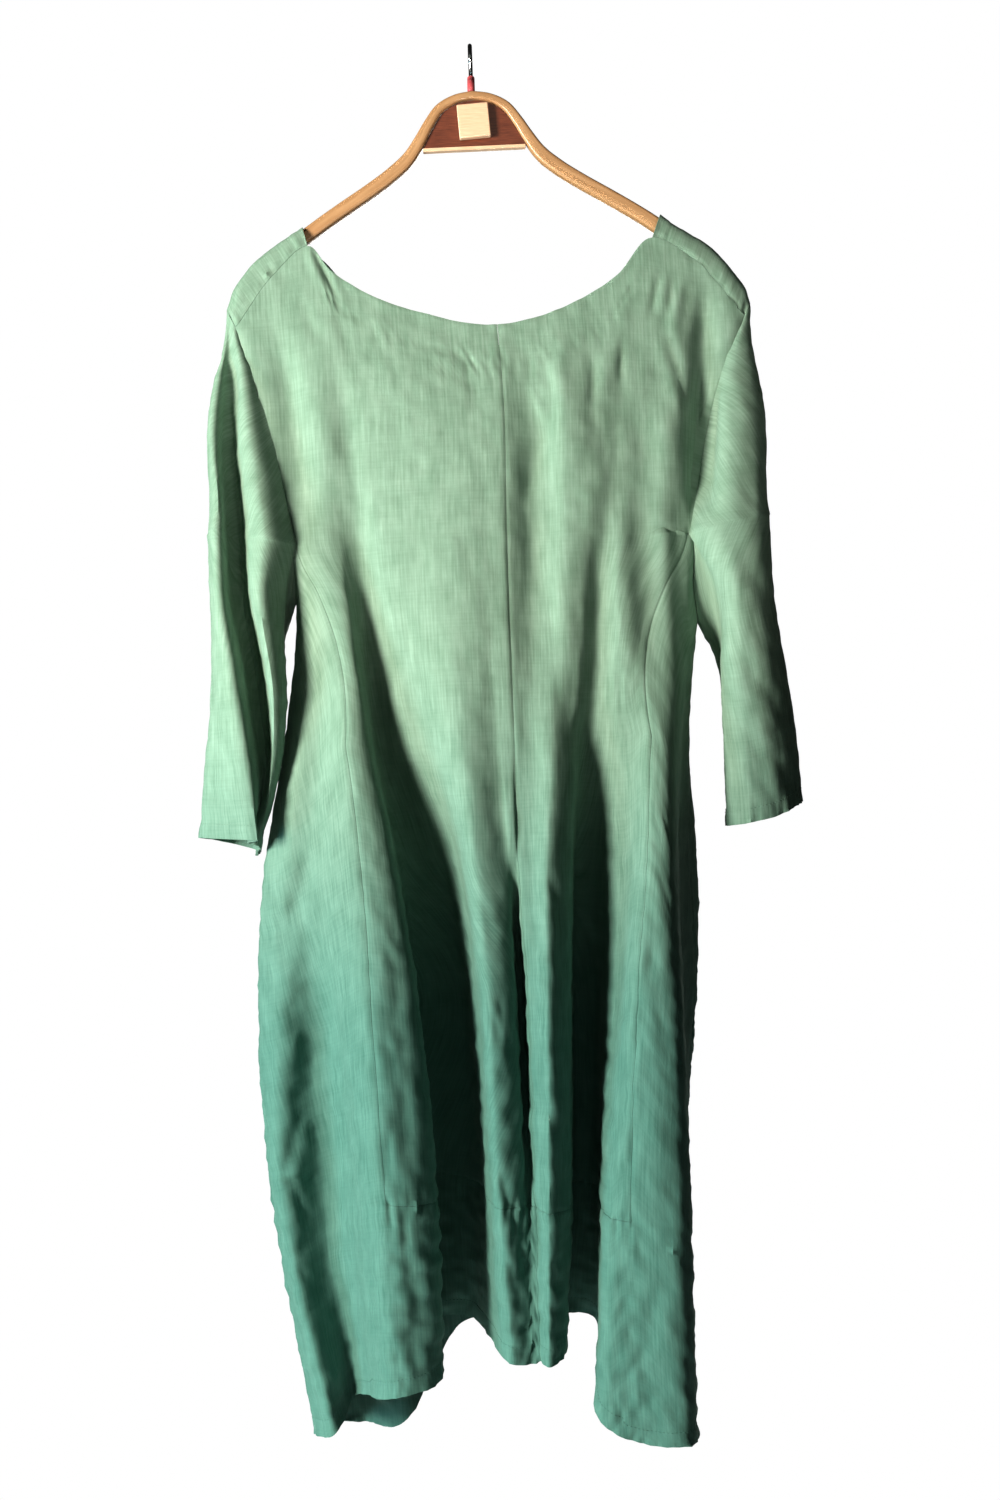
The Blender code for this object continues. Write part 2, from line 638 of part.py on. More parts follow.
def bow_stations():
    """Along the hanger's top edge from end to end: the edge point, the way down the face, the height."""
    right = np.array(HANGER_EDGE, float)
    spans = np.linalg.norm(np.diff(right, axis=0), axis=1)
    knots = np.concatenate([[0.0], np.cumsum(spans)])
    at = np.linspace(0.0, knots[-1], 22)
    half = curve_through(knots, right, at)
    edge = np.concatenate([half[:0:-1] * (-1, 1), half])
    along = np.gradient(edge, axis=0)
    along /= np.linalg.norm(along, axis=1)[:, None]
    down = np.column_stack([along[:, 1], -along[:, 0]])
    run = np.abs(np.concatenate([-at[:0:-1], at]))
    share = np.clip(run / BOW_TAPER_RUN, 0.0, 1.0)
    height = WOOD_HEIGHT_TOP + (WOOD_HEIGHT_ARM - WOOD_HEIGHT_TOP) * share**1.5
    end = np.clip((knots[-1] - run) / BOW_END_RUN, 0.0, 1.0)
    return edge, down, height * (BOW_END_SHARE + (1 - BOW_END_SHARE) * np.sqrt(end * (2 - end)))


def loft(rings):
    """A closed body through rings of equal count, with flat ends."""
    rings = np.asarray(rings, float)
    count, around = rings.shape[:2]
    faces = []
    for i in range(count - 1):
        for j in range(around):
            k = (j + 1) % around
            faces.append((i * around + j, i * around + k, (i + 1) * around + k, (i + 1) * around + j))
    faces.append(tuple(range(around))[::-1])
    faces.append(tuple((count - 1) * around + j for j in range(around)))
    return rings.reshape(-1, 3), faces


def oriented(points, faces):
    """The same faces, turned so that they face out of the body."""
    volume = 0.0
    for face in faces:
        for i in range(1, len(face) - 1):
            volume += float(np.dot(points[face[0]], np.cross(points[face[i]], points[face[i + 1]])))
    return faces if volume > 0 else [face[::-1] for face in faces]


def add_hanger(wood, dark_wood, pale_wood):
    """The bow, the panel under its arch, the thin strip below the panel and the bare block on it."""
    edge, down, height = bow_stations()
    rings = []
    for place, way, tall in zip(edge, down, height):
        rings.append([
            (place[0] + way[0] * tall * deep, WOOD_DEPTH * wide, place[1] + way[1] * tall * deep)
            for deep, wide in BOW_SECTION
        ])
    points, faces = loft(rings)
    points = tilted(points)
    add_object("hanger_bow", points, oriented(points, faces), wood)

    lower = edge + down * (height + SEAM_GAP)[:, None]
    near = np.abs(lower[:, 0]) < PANEL_REACH_LIMIT
    arch = [tuple(place) for place in lower[near] if place[1] > PANEL_BOTTOM_Z]
    reach = float(np.interp(-PANEL_BOTTOM_Z, -lower[len(lower) // 2:, 1], lower[len(lower) // 2:, 0]))
    outline = [(-reach, PANEL_BOTTOM_Z), *arch, (reach, PANEL_BOTTOM_Z)]
    add_plate("hanger_panel", outline, -PANEL_DEPTH / 2, PANEL_DEPTH / 2, dark_wood)

    top = PANEL_BOTTOM_Z - SEAM_GAP
    strip = [(-reach, top - BATTEN_HEIGHT), (-reach, top), (reach, top), (reach, top - BATTEN_HEIGHT)]
    add_plate("hanger_batten", strip, -BATTEN_DEPTH / 2, BATTEN_DEPTH / 2, pale_wood)

    block = []
    for x, z in ((-0.5, -0.5), (-0.5, 0.5), (0.5, 0.5), (0.5, -0.5)):
        x, z = x * BLOCK_WIDTH, z * BLOCK_HEIGHT
        block.append((
            BLOCK_X + x * math.cos(BLOCK_TURN) - z * math.sin(BLOCK_TURN),
            BLOCK_Z + x * math.sin(BLOCK_TURN) + z * math.cos(BLOCK_TURN),
        ))
    front = -PANEL_DEPTH / 2 - SEAM_GAP
    add_plate("hanger_block", block, front - BLOCK_DEPTH, front, pale_wood)


def add_plate(name, outline, front, back, material):
    """A flat plate of an outline of (x, z) points between two depths."""
    rings = [[(x, depth, z) for x, z in outline] for depth in (front, back)]
    points, faces = loft(rings)
    points = tilted(points)
    return add_object(name, points, oriented(points, faces), material, smooth=False)


def hook_path(first_angle):
    """The hook's wire in the plane x = 0: round its loop, then forward and down to the wood."""
    radius = HOOK_INNER_RADIUS + WIRE / 2
    centre_z = -HOOK_INNER_RADIUS
    turns = np.linspace(first_angle, HOOK_BACK_ANGLE, 16)
    loop = [(0.0, -radius * math.sin(turn), centre_z + radius * math.cos(turn)) for turn in turns]
    foot = HANGER_EDGE[0][1] + SEAM_GAP
    stem = [(0.0, y, z) for y, z in HOOK_STEM] + [(0.0, 0.0, foot)]
    return np.array(loop + stem)


def tube_rings(path, radius, around):
    """Circles of one radius across a path in the plane x = 0."""
    along = np.gradient(path, axis=0)
    along /= np.linalg.norm(along, axis=1)[:, None]
    side = np.array([1.0, 0.0, 0.0])
    rings = []
    for place, way in zip(path, along):
        lift = np.cross(way, side)
        turns = np.linspace(0.0, 2 * math.pi, around, endpoint=False)
        rings.append([place + radius * (math.cos(a) * side + math.sin(a) * lift) for a in turns])
    return np.array(rings)


def add_hook(steel, grip):
    """The steel hook, and the coloured grip round its stem."""
    path = hook_path(HOOK_TIP_ANGLE)
    points, faces = loft(tube_rings(path, WIRE / 2, 10))
    add_object("hook", points, oriented(points, faces), steel)
    covered = hook_path(GRIP_TOP_ANGLE)
    outer = tube_rings(covered, GRIP_DIAMETER / 2, 10)
    inner = tube_rings(covered, WIRE / 2 + GRIP_GAP, 10)
    count, around = outer.shape[:2]
    total = count * around
    faces = []
    for j in range(around):
        k = (j + 1) % around
        for i in range(count - 1):
            a, b, c, d = i * around + j, i * around + k, (i + 1) * around + k, (i + 1) * around + j
            faces += [(a, b, c, d), (d + total, c + total, b + total, a + total)]
        last = (count - 1) * around
        faces += [(j, j + total, k + total, k), (last + k, last + k + total, last + j + total, last + j)]
    points = np.concatenate([outer.reshape(-1, 3), inner.reshape(-1, 3)])
    add_object("hook_grip", points, oriented(points, faces), grip)


def main():
    """Builds the dress panel by panel, then the hanger."""
    clear_scene()
    linen = finish_material("sea green linen", (0.25, 0.42, 0.31), 0.85)
    wood = finish_material("varnished beech", (0.62, 0.34, 0.14), 0.4)
    dark_wood = finish_material("dark red-brown board", (0.16, 0.04, 0.02), 0.5)
    pale_wood = finish_material("pale wood", (0.76, 0.5, 0.33), 0.5)
    steel = finish_material("polished steel", (0.6, 0.6, 0.6), 0.2, 1.0)
    grip = finish_material("red plastic", (0.6, 0.12, 0.12), 0.45)

    grid, column = body_grid()
    cloth = Cloth()
    add_body(cloth, grid, column)
    add_sleeves_and_yokes(cloth, grid, column)
    outward, mitre = cloth.normals()
    seams = cloth.seam_edges()
    for name in cloth.panels:
        points, faces = cloth.wall(name, outward, mitre, seams)
        add_object(name, points, faces, linen)
    add_hanger(wood, dark_wood, pale_wood)
    add_hook(steel, grip)


main()
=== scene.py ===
"""A long linen dress on a wooden clothes hanger, dressed for a picture in a plain studio.

Every cloth piece is a thin shell on the same fold lines as its solid, cut finer, with creases,
seams, gathers and hems set into it. Sizes in the tables are millimetres; the meshes are in metres.
"""

import logging
import math
from dataclasses import dataclass, field
from enum import Enum, IntEnum
from typing import NamedTuple

import bpy
import numpy as np
from mathutils import Matrix

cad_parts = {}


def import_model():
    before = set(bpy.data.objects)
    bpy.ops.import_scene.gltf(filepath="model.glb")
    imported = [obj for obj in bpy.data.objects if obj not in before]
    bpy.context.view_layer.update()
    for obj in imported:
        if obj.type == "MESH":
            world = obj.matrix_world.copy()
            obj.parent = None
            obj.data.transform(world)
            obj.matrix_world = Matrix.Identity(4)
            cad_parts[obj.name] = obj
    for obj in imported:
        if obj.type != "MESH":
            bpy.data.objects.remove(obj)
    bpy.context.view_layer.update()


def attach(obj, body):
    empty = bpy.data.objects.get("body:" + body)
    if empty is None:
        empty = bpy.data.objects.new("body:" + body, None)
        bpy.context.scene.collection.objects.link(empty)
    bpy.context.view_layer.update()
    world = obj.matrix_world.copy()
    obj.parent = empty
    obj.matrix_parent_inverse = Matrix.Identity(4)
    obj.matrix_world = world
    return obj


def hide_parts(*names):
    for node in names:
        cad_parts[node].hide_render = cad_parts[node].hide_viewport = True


Socket, Material, Object = bpy.types.NodeSocket, bpy.types.Material, bpy.types.Object

LOG = logging.getLogger("dress")
MM = 0.001
TINY = 1e-9

# Heights and depths of the dress's landmarks.
BUST_Z, WAIST_Z, HIP_Z, THIGH_Z = -306.0, -598.0, -697.0, -797.0
ARMHOLE_FRONT_Y, ARMHOLE_BACK_Y = -24.0, 27.0
UNDERARM_Z, UNDERARM_DROP_LEFT, UNDERARM_DROP_RIGHT = -426.0, 44.0, 74.0
BAND_Z, BAND_SLOPE = -973.0, -0.09

# How finely the cloth is cut: rows down each part, and columns for each step between fold lines.
TOP_ROWS, MIDDLE_ROWS, LOW_ROWS, SLEEVE_ROWS = 46, 104, 46, 64
LEFT_BACK_SIDE_STEPS = 3
FINER = 5
SEAM_CLUSTER = 1.4

# The fold lines that begin at an armhole's bottom, and those that are seams.
SIDE_LINES = (
    "side_left", "left_edge", "left_strip", "left_valley", "right_crest", "right_edge", "side_right",
)
SEAM_LINES = ("side_left", "left_princess", "centre_seam", "right_princess", "side_right")

# The hanger's lean and the hook's wire.
HANGER_TILT = math.radians(0.83)
WIRE, HOOK_INNER_RADIUS = 3.6, 13.0
HOOK_TIP_ANGLE, HOOK_BACK_ANGLE, GRIP_TOP_ANGLE = (math.radians(angle) for angle in (105.0, -128.0, -112.0))
GRIP_DIAMETER = 6.4


class Side(Enum):
    """Which side of the picture a sleeve or shoulder is on, with the sign of x there."""

    LEFT = -1
    RIGHT = 1


class Station(IntEnum):
    """The eight heights at which a fold line has its places, from the top down."""

    TOP, BUST, UNDERARM, WAIST, HIP, THIGH, BAND, HEM = range(8)


class Line(NamedTuple):
    """A fold line: the columns to the next line, x and depth at each Station, and the hem's height."""

    name: str
    steps: int
    x: tuple
    y: tuple
    hem_z: float


FRONT_LINES = (
    Line("side_left", 1, (-214, -192, -164, -180, -199, -207, -204, -171), (0, 2, 4, 8, 8, 8, 10, 12), -1191),
    Line("left_edge", 2, (-213, -191, -164, -177, -195, -204, -201, -168),
         (-3, -3, -3, -6, -8, -10, -12, -15), -1183),
    Line("left_strip", 2, (-212, -190, -163, -164, -177, -184, -188, -149),
         (-6, -7, -10, -24, -30, -34, -40, -44), -1172),
    Line("left_valley", 3, (-210, -188, -162, -146, -157, -160, -156, -137),
         (-9, -10, -17, -31, -38, -35, -28, -16), -1154),
    Line("left_princess", 3, (-208, -186, -160, -121, -110, -103, -95, -92),
         (-12, -14, -24, -52, -70, -90, -104, -105), -1118),
    Line("left_lip", 3, (-178, -143, -124, -103, -85, -70, -58, -58),
         (-12, -24, -32, -48, -64, -82, -90, -90), -1112),
    Line("undercut_left", 2, (-144, -116, -106, -96, -80, -72, -61, -60),
         (-12, -27, -26, -12, -5, -4, -4, -4), -1092),
    Line("undercut_right", 3, (-124, -96, -86, -65, -42, -34, -27, -34),
         (-14, -30, -34, -26, -14, -14, -18, -12), -1088),
    Line("centre_left_ridge", 3, (-84, -51, -39, -26, -16, -9, -5, 2),
         (-18, -35, -46, -60, -74, -86, -96, -104), -1095),
    Line("slit_lip_left", 2, (-34, -6, -3, 4, 9, 11.5, 14.5, 15),
         (-21, -34, -44, -56, -66, -76, -86, -98), -1097),
    Line("slit_left", 1, (-12, 2, 4, 9, 14, 14.5, 17.5, 17.5),
         (-22, -34, -44, -56, -65, -44, -82, -97), -1097),
    Line("slit_right", 2, (4, 11, 14, 16, 17.5, 20.5, 20.5, 20.5),
         (-22, -34, -44, -56, -65, -44, -82, -97), -1097),
    Line("centre_seam", 2, (16, 19, 18, 19, 19, 23, 24, 24), (-22, -34, -43, -56, -66, -76, -86, -98), -1095),
    Line("centre_swell", 2, (42, 44, 38, 33, 31, 31, 30, 28),
         (-21, -31, -39, -55, -70, -84, -96, -105), -1096),
    Line("centre_right_ridge", 2, (67, 67, 62, 52, 43, 40, 35, 31),
         (-20, -38, -46, -62, -80, -94, -104, -108), -1096),
    Line("centre_right_flank", 3, (94, 91, 81, 68, 62, 57, 51, 43),
         (-18, -34, -41, -52, -62, -72, -82, -94), -1094),
    Line("right_valley_left", 2, (120, 105, 94, 79, 69, 65, 59, 50),
         (-16, -32, -37, -38, -20, -6, -4, -4), -1091),
    Line("right_valley_right", 3, (151, 118, 107, 94, 84, 81, 77, 74),
         (-12, -29, -35, -37, -22, -12, -10, -10), -1094),
    Line("right_lip", 4, (190, 136, 124, 112, 103, 95, 80, 71),
         (-12, -27, -34, -47, -48, -58, -98, -106), -1142),
    Line("right_princess", 2, (228, 200, 173, 133, 124, 112, 99, 102),
         (-12, -14, -24, -56, -78, -98, -112, -114), -1156),
    Line("right_crest", 2, (231, 204, 177, 152, 144, 142, 140, 139),
         (-7, -8, -14, -50, -76, -97, -115, -117), -1158),
    Line("right_edge", 1, (232, 206, 180, 164, 158, 156, 152, 151),
         (-3, -3, -5, -12, -15, -20, -36, -48), -1171),
    Line("side_right", 2, (233, 207, 181, 171, 170, 171, 156, 156), (0, 2, 4, 10, 18, 22, 14, 6), -1172),
)

BACK_LINES = (
    Line("back_left", 3, (-208, -187, -163, -174, -188, -195, -190, -166),
         (12, 18, 27, 36, 42, 46, 48, 48), -1200),
    Line("back_ridge_1", 3, (-178, -150, -136, -146, -150, -151, -147, -138),
         (12, 24, 38, 54, 66, 74, 82, 84), -1216),
    Line("back_valley_1", 3, (-144, -118, -108, -108, -108, -106, -102, -97),
         (12, 22, 30, 34, 36, 39, 42, 42), -1200),
    Line("back_ridge_2", 3, (-96, -76, -68, -66, -62, -58, -54, -50),
         (16, 28, 40, 52, 62, 72, 81, 87), -1134),
    Line("back_valley_2", 3, (-46, -36, -31, -27, -22, -18, -14, -12),
         (20, 25, 31, 35, 37, 39, 42, 42), -1104),
    Line("back_ridge_3", 3, (8, 6, 6, 13, 21, 27, 32, 34), (22, 30, 42, 56, 68, 78, 87, 93), -1092),
    Line("back_valley_3", 3, (60, 52, 49, 55, 61, 66, 70, 72), (20, 25, 31, 35, 37, 39, 42, 42), -1090),
    Line("back_ridge_4", 3, (112, 100, 96, 100, 105, 108, 109, 110), (16, 28, 40, 54, 64, 73, 82, 88), -1098),
    Line("back_swell", 3, (151, 138, 134, 134, 138, 140, 138, 137), (12, 24, 33, 42, 50, 56, 58, 58), -1122),
)
BACK_SHOULDER = Line(
    "back_shoulder", 4, (190, 170, 156, 156, 164, 163, 150, 150), (12, 22, 31, 42, 60, 68, 66, 60), -1142
)
BACK_RIGHT = Line(
    "back_right", 2, (228, 200, 174, 170, 178, 176, 156, 158), (12, 17, 26, 34, 50, 56, 50, 44), -1150
)

# Outlines of (x, z) points, in the order of rising x.
NECK_EDGE = (
    (-144, -169), (-124, -192), (-105, -206), (-84, -218), (-43, -233), (10, -244), (54, -237), (84, -225),
    (106, -213), (124, -200), (138, -188), (151, -171),
)
BACK_NECK_RISE = -6.0
SHOULDER_END_LEFT, SHOULDER_END_RIGHT = -208, 228
SHOULDER_SEAM_Z = {-178: -197, SHOULDER_END_LEFT: -236, 190: -194, SHOULDER_END_RIGHT: -240}
BEYOND_SHOULDER_X = 209
# How far two seams bow sideways between the underarm and the waist, and by which share that is whole.
SEAM_BOW = {"left_princess": 12.0, "right_princess": -16.0}
BOW_START = 0.25
SHOULDER_TOP_LEFT = (
    (-216, -219), (-207.5, -199), (-198, -186), (-186, -174.5), (-174, -166), (-161, -157.5), (-149, -149.6),
)
SHOULDER_TOP_RIGHT = (
    (159, -149), (171, -157.5), (183, -165), (195, -173), (208, -184.5), (220, -199), (229, -212),
    (234, -226),
)
YOKE_STEPS = 12
YOKE_SQUARENESS = 2.5
HANGER_EDGE = (
    (0, -37), (15, -39.5), (31.5, -48), (42, -61), (50.5, -74), (60, -87), (75, -100), (94, -113),
    (115, -126), (135.5, -139.0), (150, -148.8), (168, -162.1), (186, -175.6), (202, -188.6),
)


class SleeveLine(NamedTuple):
    """A line down a sleeve: distance out from the middle and depth at three heights and at the cuff."""

    name: str
    steps: int
    out: tuple
    y: tuple
    cuff_z: float


SLEEVE_STATION_SHARE = (0.16, 0.52, 0.8)
SLEEVE_CAP_BULGE = 13.0
CAP_LIFT, CAP_HOLD = 14.0, 0.3
LEFT_SLEEVE = (
    SleeveLine("back_seam", 1, (186, 190, 202, 211), (36, 42, 44, 42), -688),
    SleeveLine("back", 2, (208, 214, 222, 230), (50, 52, 50, 46), -682),
    SleeveLine("outer_back", 2, (233, 236, 243, 247), (32, 34, 32, 28), -676),
    SleeveLine("outer", 2, (237, 240, 247, 252), (-2, -4, -6, -6), -672),
    SleeveLine("lip", 2, (225, 213, 202, 198), (-34, -42, -46, -46), -674),
    SleeveLine("groove", 2, (211, 199, 194, 208), (-9, -10, -20, -28), -677),
    SleeveLine("ridge", 1, (188, 180, 187, 200), (-46, -47, -34, -22), -680),
    SleeveLine("front_seam", 0, (172, 173, 184, 203), (-25, -26, -21, -12), -684),
)
LEFT_INNER = SleeveLine("inner", 0, (176, 186, 198, 207), (4, 5, 6, 6), -690)
RIGHT_SLEEVE = (
    SleeveLine("back_seam", 1, (200, 209, 211, 211), (38, 42, 40, 38), -672),
    SleeveLine("back", 2, (216, 226, 234, 238), (50, 52, 50, 48), -666),
    SleeveLine("outer_back", 2, (237, 249, 258, 261), (32, 34, 32, 30), -660),
    SleeveLine("outer", 2, (242, 254, 263, 265), (-2, 0, 0, 0), -656),
    SleeveLine("lip", 2, (240, 247, 253, 255), (-28, -28, -28, -28), -660),
    SleeveLine("groove", 2, (226, 231, 235, 235), (-42, -43, -43, -43), -668),
    SleeveLine("ridge", 1, (205, 209, 211, 210), (-45, -45, -44, -44), -673),
    SleeveLine("front_seam", 0, (194, 197, 198, 198), (-30, -30, -30, -30), -675),
)
RIGHT_INNER = SleeveLine("inner", 0, (198, 203, 204, 204), (6, 7, 7, 6), -676)


class Crease(NamedTuple):
    """A soft trough, or a ridge where depth is negative, from one place of the front view to another.

    x0, z0, x1 and z1 are the ends as the front view shows them in the plane SEEN_PLANE_Y, bow is how
    far its middle stands aside, and width and depth are its own.
    """

    x0: float
    z0: float
    x1: float
    z1: float
    bow: float
    width: float
    depth: float

    def behind(self) -> "Crease":
        """The like crease on the back: mirrored and a little lower."""
        return self._replace(
            x0=-self.x0, z0=self.z0 + BACK_SHIFT_Z, x1=-self.x1, z1=self.z1 + BACK_SHIFT_Z, bow=-self.bow
        )


BACK_SHIFT_Z = -24.0
SEEN_FROM = (7.0, -1350.0, -605.0)
SEEN_PLANE_Y = -35.0
# The creases fade in between two slants, 0 edge-on and 1 face-on: on the front, the back and the sleeves.
FRONT_FACING, BACK_FACING, SLEEVE_FACING = (-0.05, 0.35), (0.05, 0.45), (-0.25, 0.25)
FRONT_CREASES = tuple(Crease(*row) for row in (
    (-40, -272, -39, -291, 0, 2.2, 0.5), (-30, -272, -29, -296, 0, 2.2, 0.6),
    (-20, -274, -21, -293, 0, 2.0, 0.5), (-10, -275, -12, -300, 0, 2.4, 0.6), (7, -270, 8, -287, 0, 2.0, 0.5),
    (20, -271, 21, -289, 0, 2.0, 0.5), (30, -274, 29, -294, 0, 2.2, 0.6), (44, -273, 41, -293, 0, 2.4, 0.5),
    (-8, -268, -7, -335, 2, 6, 0.9), (-78, -262, -69, -296, 0, 4, 0.7), (-89, -249, -80, -274, 0, 3, 0.6),
    (53, -285, 59, -327, 3, 5, 2.0), (42, -298, 54, -326, -1, 3, -1.0), (65, -266, 54, -288, 0, 3.5, 0.9),
    (60, -325, 35, -402, -5, 7, 1.8), (35, -402, 40, -470, 3, 7, 1.3), (95, -278, 93, -317, 1, 4.5, 1.3),
    (120, -266, 118, -297, 0, 3.5, 1.4), (95, -322, 104, -448, 5, 8, 1.2),
    (154, -246, 173, -337, 2, 2.6, 1.7), (149, -266, 166, -332, 2, 4, -0.9),
    (-137, -181, -118, -222, 1, 2.4, 1.6), (-124, -182, -98, -214, 1, 2.2, 1.2),
    (-104, -196, -86, -220, 0, 2.0, 1.0), (-141, -176, -133, -209, 0, 3, -0.8),
    (190, -230, 188, -330, 0, 10, 7.0), (187, -306, 184, -408, 0, 13, 13.0),
    (176, -222, 170, -262, 1, 4, 1.6), (164, -214, 158, -250, 1, 3.5, 1.4),
    (153, -209, 146, -240, 1, 3.0, 1.2), (199, -240, 200, -262, 0, 4, -1.0), (46, -312, 49, -480, 4, 17, 5.2),
    (49, -470, 70, -615, -3, 15, 4.6), (-128, -375, -86, -560, 0, 16, 3.8), (101, -405, 84, -610, 0, 9, 4.5),
    (-10, -327, -9, -562, 0, 22, -2.4), (99, -356, 126, -567, -4, 15, -2.8),
    (141, -340, 152, -416, 2, 9, 2.6), (-168, -258, -153, -410, 2, 12, 6.5),
    (149, -335, 150, -560, 0, 9, -4.0), (-150, -785, -141, -1000, 0, 16, 9.5),
    (-134, -1000, -126, -1140, 0, 10, 3.5), (-118, -290, -110, -360, 2, 10, 1.5),
    (-149, -222, -135, -260, 1, 5, 0.8), (-120, -223, -113, -265, 0, 5, 0.7),
    (-153, -692, -189, -803, -6, 9, 2.6), (-149, -810, -173, -906, 3, 8, 1.8),
    (-172, -902, -186, -957, 1, 5, 2.0), (-183, -956, -169, -1000, 1, 3.5, 1.5),
    (-176, -1035, -166, -1049, 0, 3.5, 1.4), (-186, -969, -174, -1027, 0, 5, -1.0),
    (-198, -758, -165, -730, 2, 6, 1.2), (-196, -859, -175, -839, 1, 5, 0.9),
    (-194, -901, -177, -885, 0, 4, -0.8), (-97, -751, -84, -780, 1, 3.5, -1.2),
    (-89, -780, -86, -822, 1, 5, 1.2), (-94, -836, -84, -881, 1, 4, -1.0), (-86, -886, -80, -940, 1, 5, 1.4),
    (-100, -903, -90, -952, 2, 4, -0.8), (-92, -910, -98, -970, -2, 4, 1.0),
    (-121, -731, -105, -757, 1, 5, 0.8), (-134, -794, -118, -837, 1, 6, 0.9),
    (-130, -912, -118, -946, 1, 5, 0.8), (-99, -977, -96, -1002, 0, 2.4, 1.2),
    (-90, -977, -86, -1024, 1, 2.6, 1.3), (-80, -977, -76, -1016, 1, 2.6, 1.1),
    (-71, -978, -70, -1035, 1, 2.6, 1.2), (-106, -977, -105, -993, 0, 2.2, 0.8),
    (-90, -1022, -75, -1092, 3, 6, 1.1), (-80, -1006, -68, -1067, 2, 5, -1.0),
    (-116, -1055, -116, -1124, 1, 6, 1.0), (-100, -1098, -90, -1140, 1, 4, 1.0),
    (-108, -1013, -91, -1038, 1, 5, 0.8), (-9, -815, 5, -852, 2, 3.4, -1.8), (-4, -825, 9, -867, 2, 4, 1.4),
    (-14, -731, -5, -777, 2, 5, 0.8), (-8, -953, 2, -1000, 3, 4, 1.8), (-5, -991, 11, -963, -1, 4, -1.0),
    (-15, -1013, 9, -1069, 4, 4.5, 1.3), (-7, -1060, 28, -1028, -3, 5, 1.3),
    (2, -1096, 35, -1079, -2, 4, 1.0), (-19, -1035, -4, -1084, 3, 4, -0.9), (11, -1026, 20, -1068, 1, 4, 1.2),
    (30, -774, 52, -805, 2, 4, -1.1), (42, -704, 53, -765, 3, 4, 1.1), (31, -903, 52, -943, 2, 5, 1.4),
    (33, -967, 46, -1008, 2, 4, 1.5), (40, -942, 24, -986, -2, 4, -1.0), (24, -1018, 44, -1062, 2, 4, 1.2),
    (34, -850, 45, -880, 1, 4, -0.7), (118, -807, 133, -770, -2, 5, 1.6), (110, -871, 120, -819, -2, 5, 1.5),
    (117, -913, 103, -971, -2, 5, 1.3), (131, -819, 140, -870, 2, 6, 1.0), (130, -710, 137, -752, 1, 4, -0.8),
    (115, -1009, 111, -1030, 0, 2.4, 1.4), (122, -1009, 124, -1041, 0, 2.4, 1.5),
    (129, -1009, 135, -1036, 0, 2.4, 1.4), (104, -1008, 100, -1028, 0, 2.2, 0.9),
    (94, -1006, 91, -1025, 0, 2.2, 0.8), (140, -1011, 143, -1035, 0, 2.2, 0.9),
    (84, -1095, 105, -1061, -2, 4.5, 1.3), (89, -1141, 117, -1106, -2, 4.5, 1.4),
    (100, -1170, 129, -1142, -2, 4, 1.2), (131, -1055, 117, -1098, -2, 5, 1.2),
    (137, -1068, 129, -1113, 0, 5, -1.0), (82, -1062, 103, -1029, -2, 5, -0.8),
    (144, -963, 135, -1013, -2, 6, 1.0), (111, -1046, 123, -1071, 1, 4, -0.9),
    (84, -1150, 94, -1180, 1, 3, 0.9),
))
SLEEVE_CREASES = tuple(Crease(*row) for row in (
    (190, -230, 188, -330, 0, 10, 7.0), (187, -306, 184, -408, 0, 13, 13.0),
    (-209, -272, -214, -352, 1, 6.0, 5.5), (-214, -336, -209, -480, 1, 7.5, 6.5),
    (-209, -464, -191, -612, 3, 8.5, 5.5), (-219, -322, -213, -372, 1, 4, -0.9),
    (-196, -352, -186, -392, 2, 5, 1.0), (-191, -470, -186, -530, 1, 6, 0.9),
    (-196, -548, -187, -590, 1, 4, -0.9), (-236, -560, -228, -640, 2, 7, 0.8),
    (-240, -626, -222, -648, 1, 5, 0.9), (203, -300, 214, -345, 2, 6, 1.1), (208, -360, 226, -420, 2, 8, 1.2),
    (214, -436, 232, -486, -2, 8, 1.0), (206, -520, 224, -556, 2, 6, 1.1), (222, -545, 246, -592, 2, 8, 1.2),
    (212, -590, 232, -628, -2, 6, 1.0), (232, -610, 252, -650, 2, 5, 0.9), (206, -622, 222, -652, 1, 4, -0.7),
    (228, -640, 240, -668, 1, 4, 0.8), (244, -560, 252, -600, 1, 4, -0.7),
))


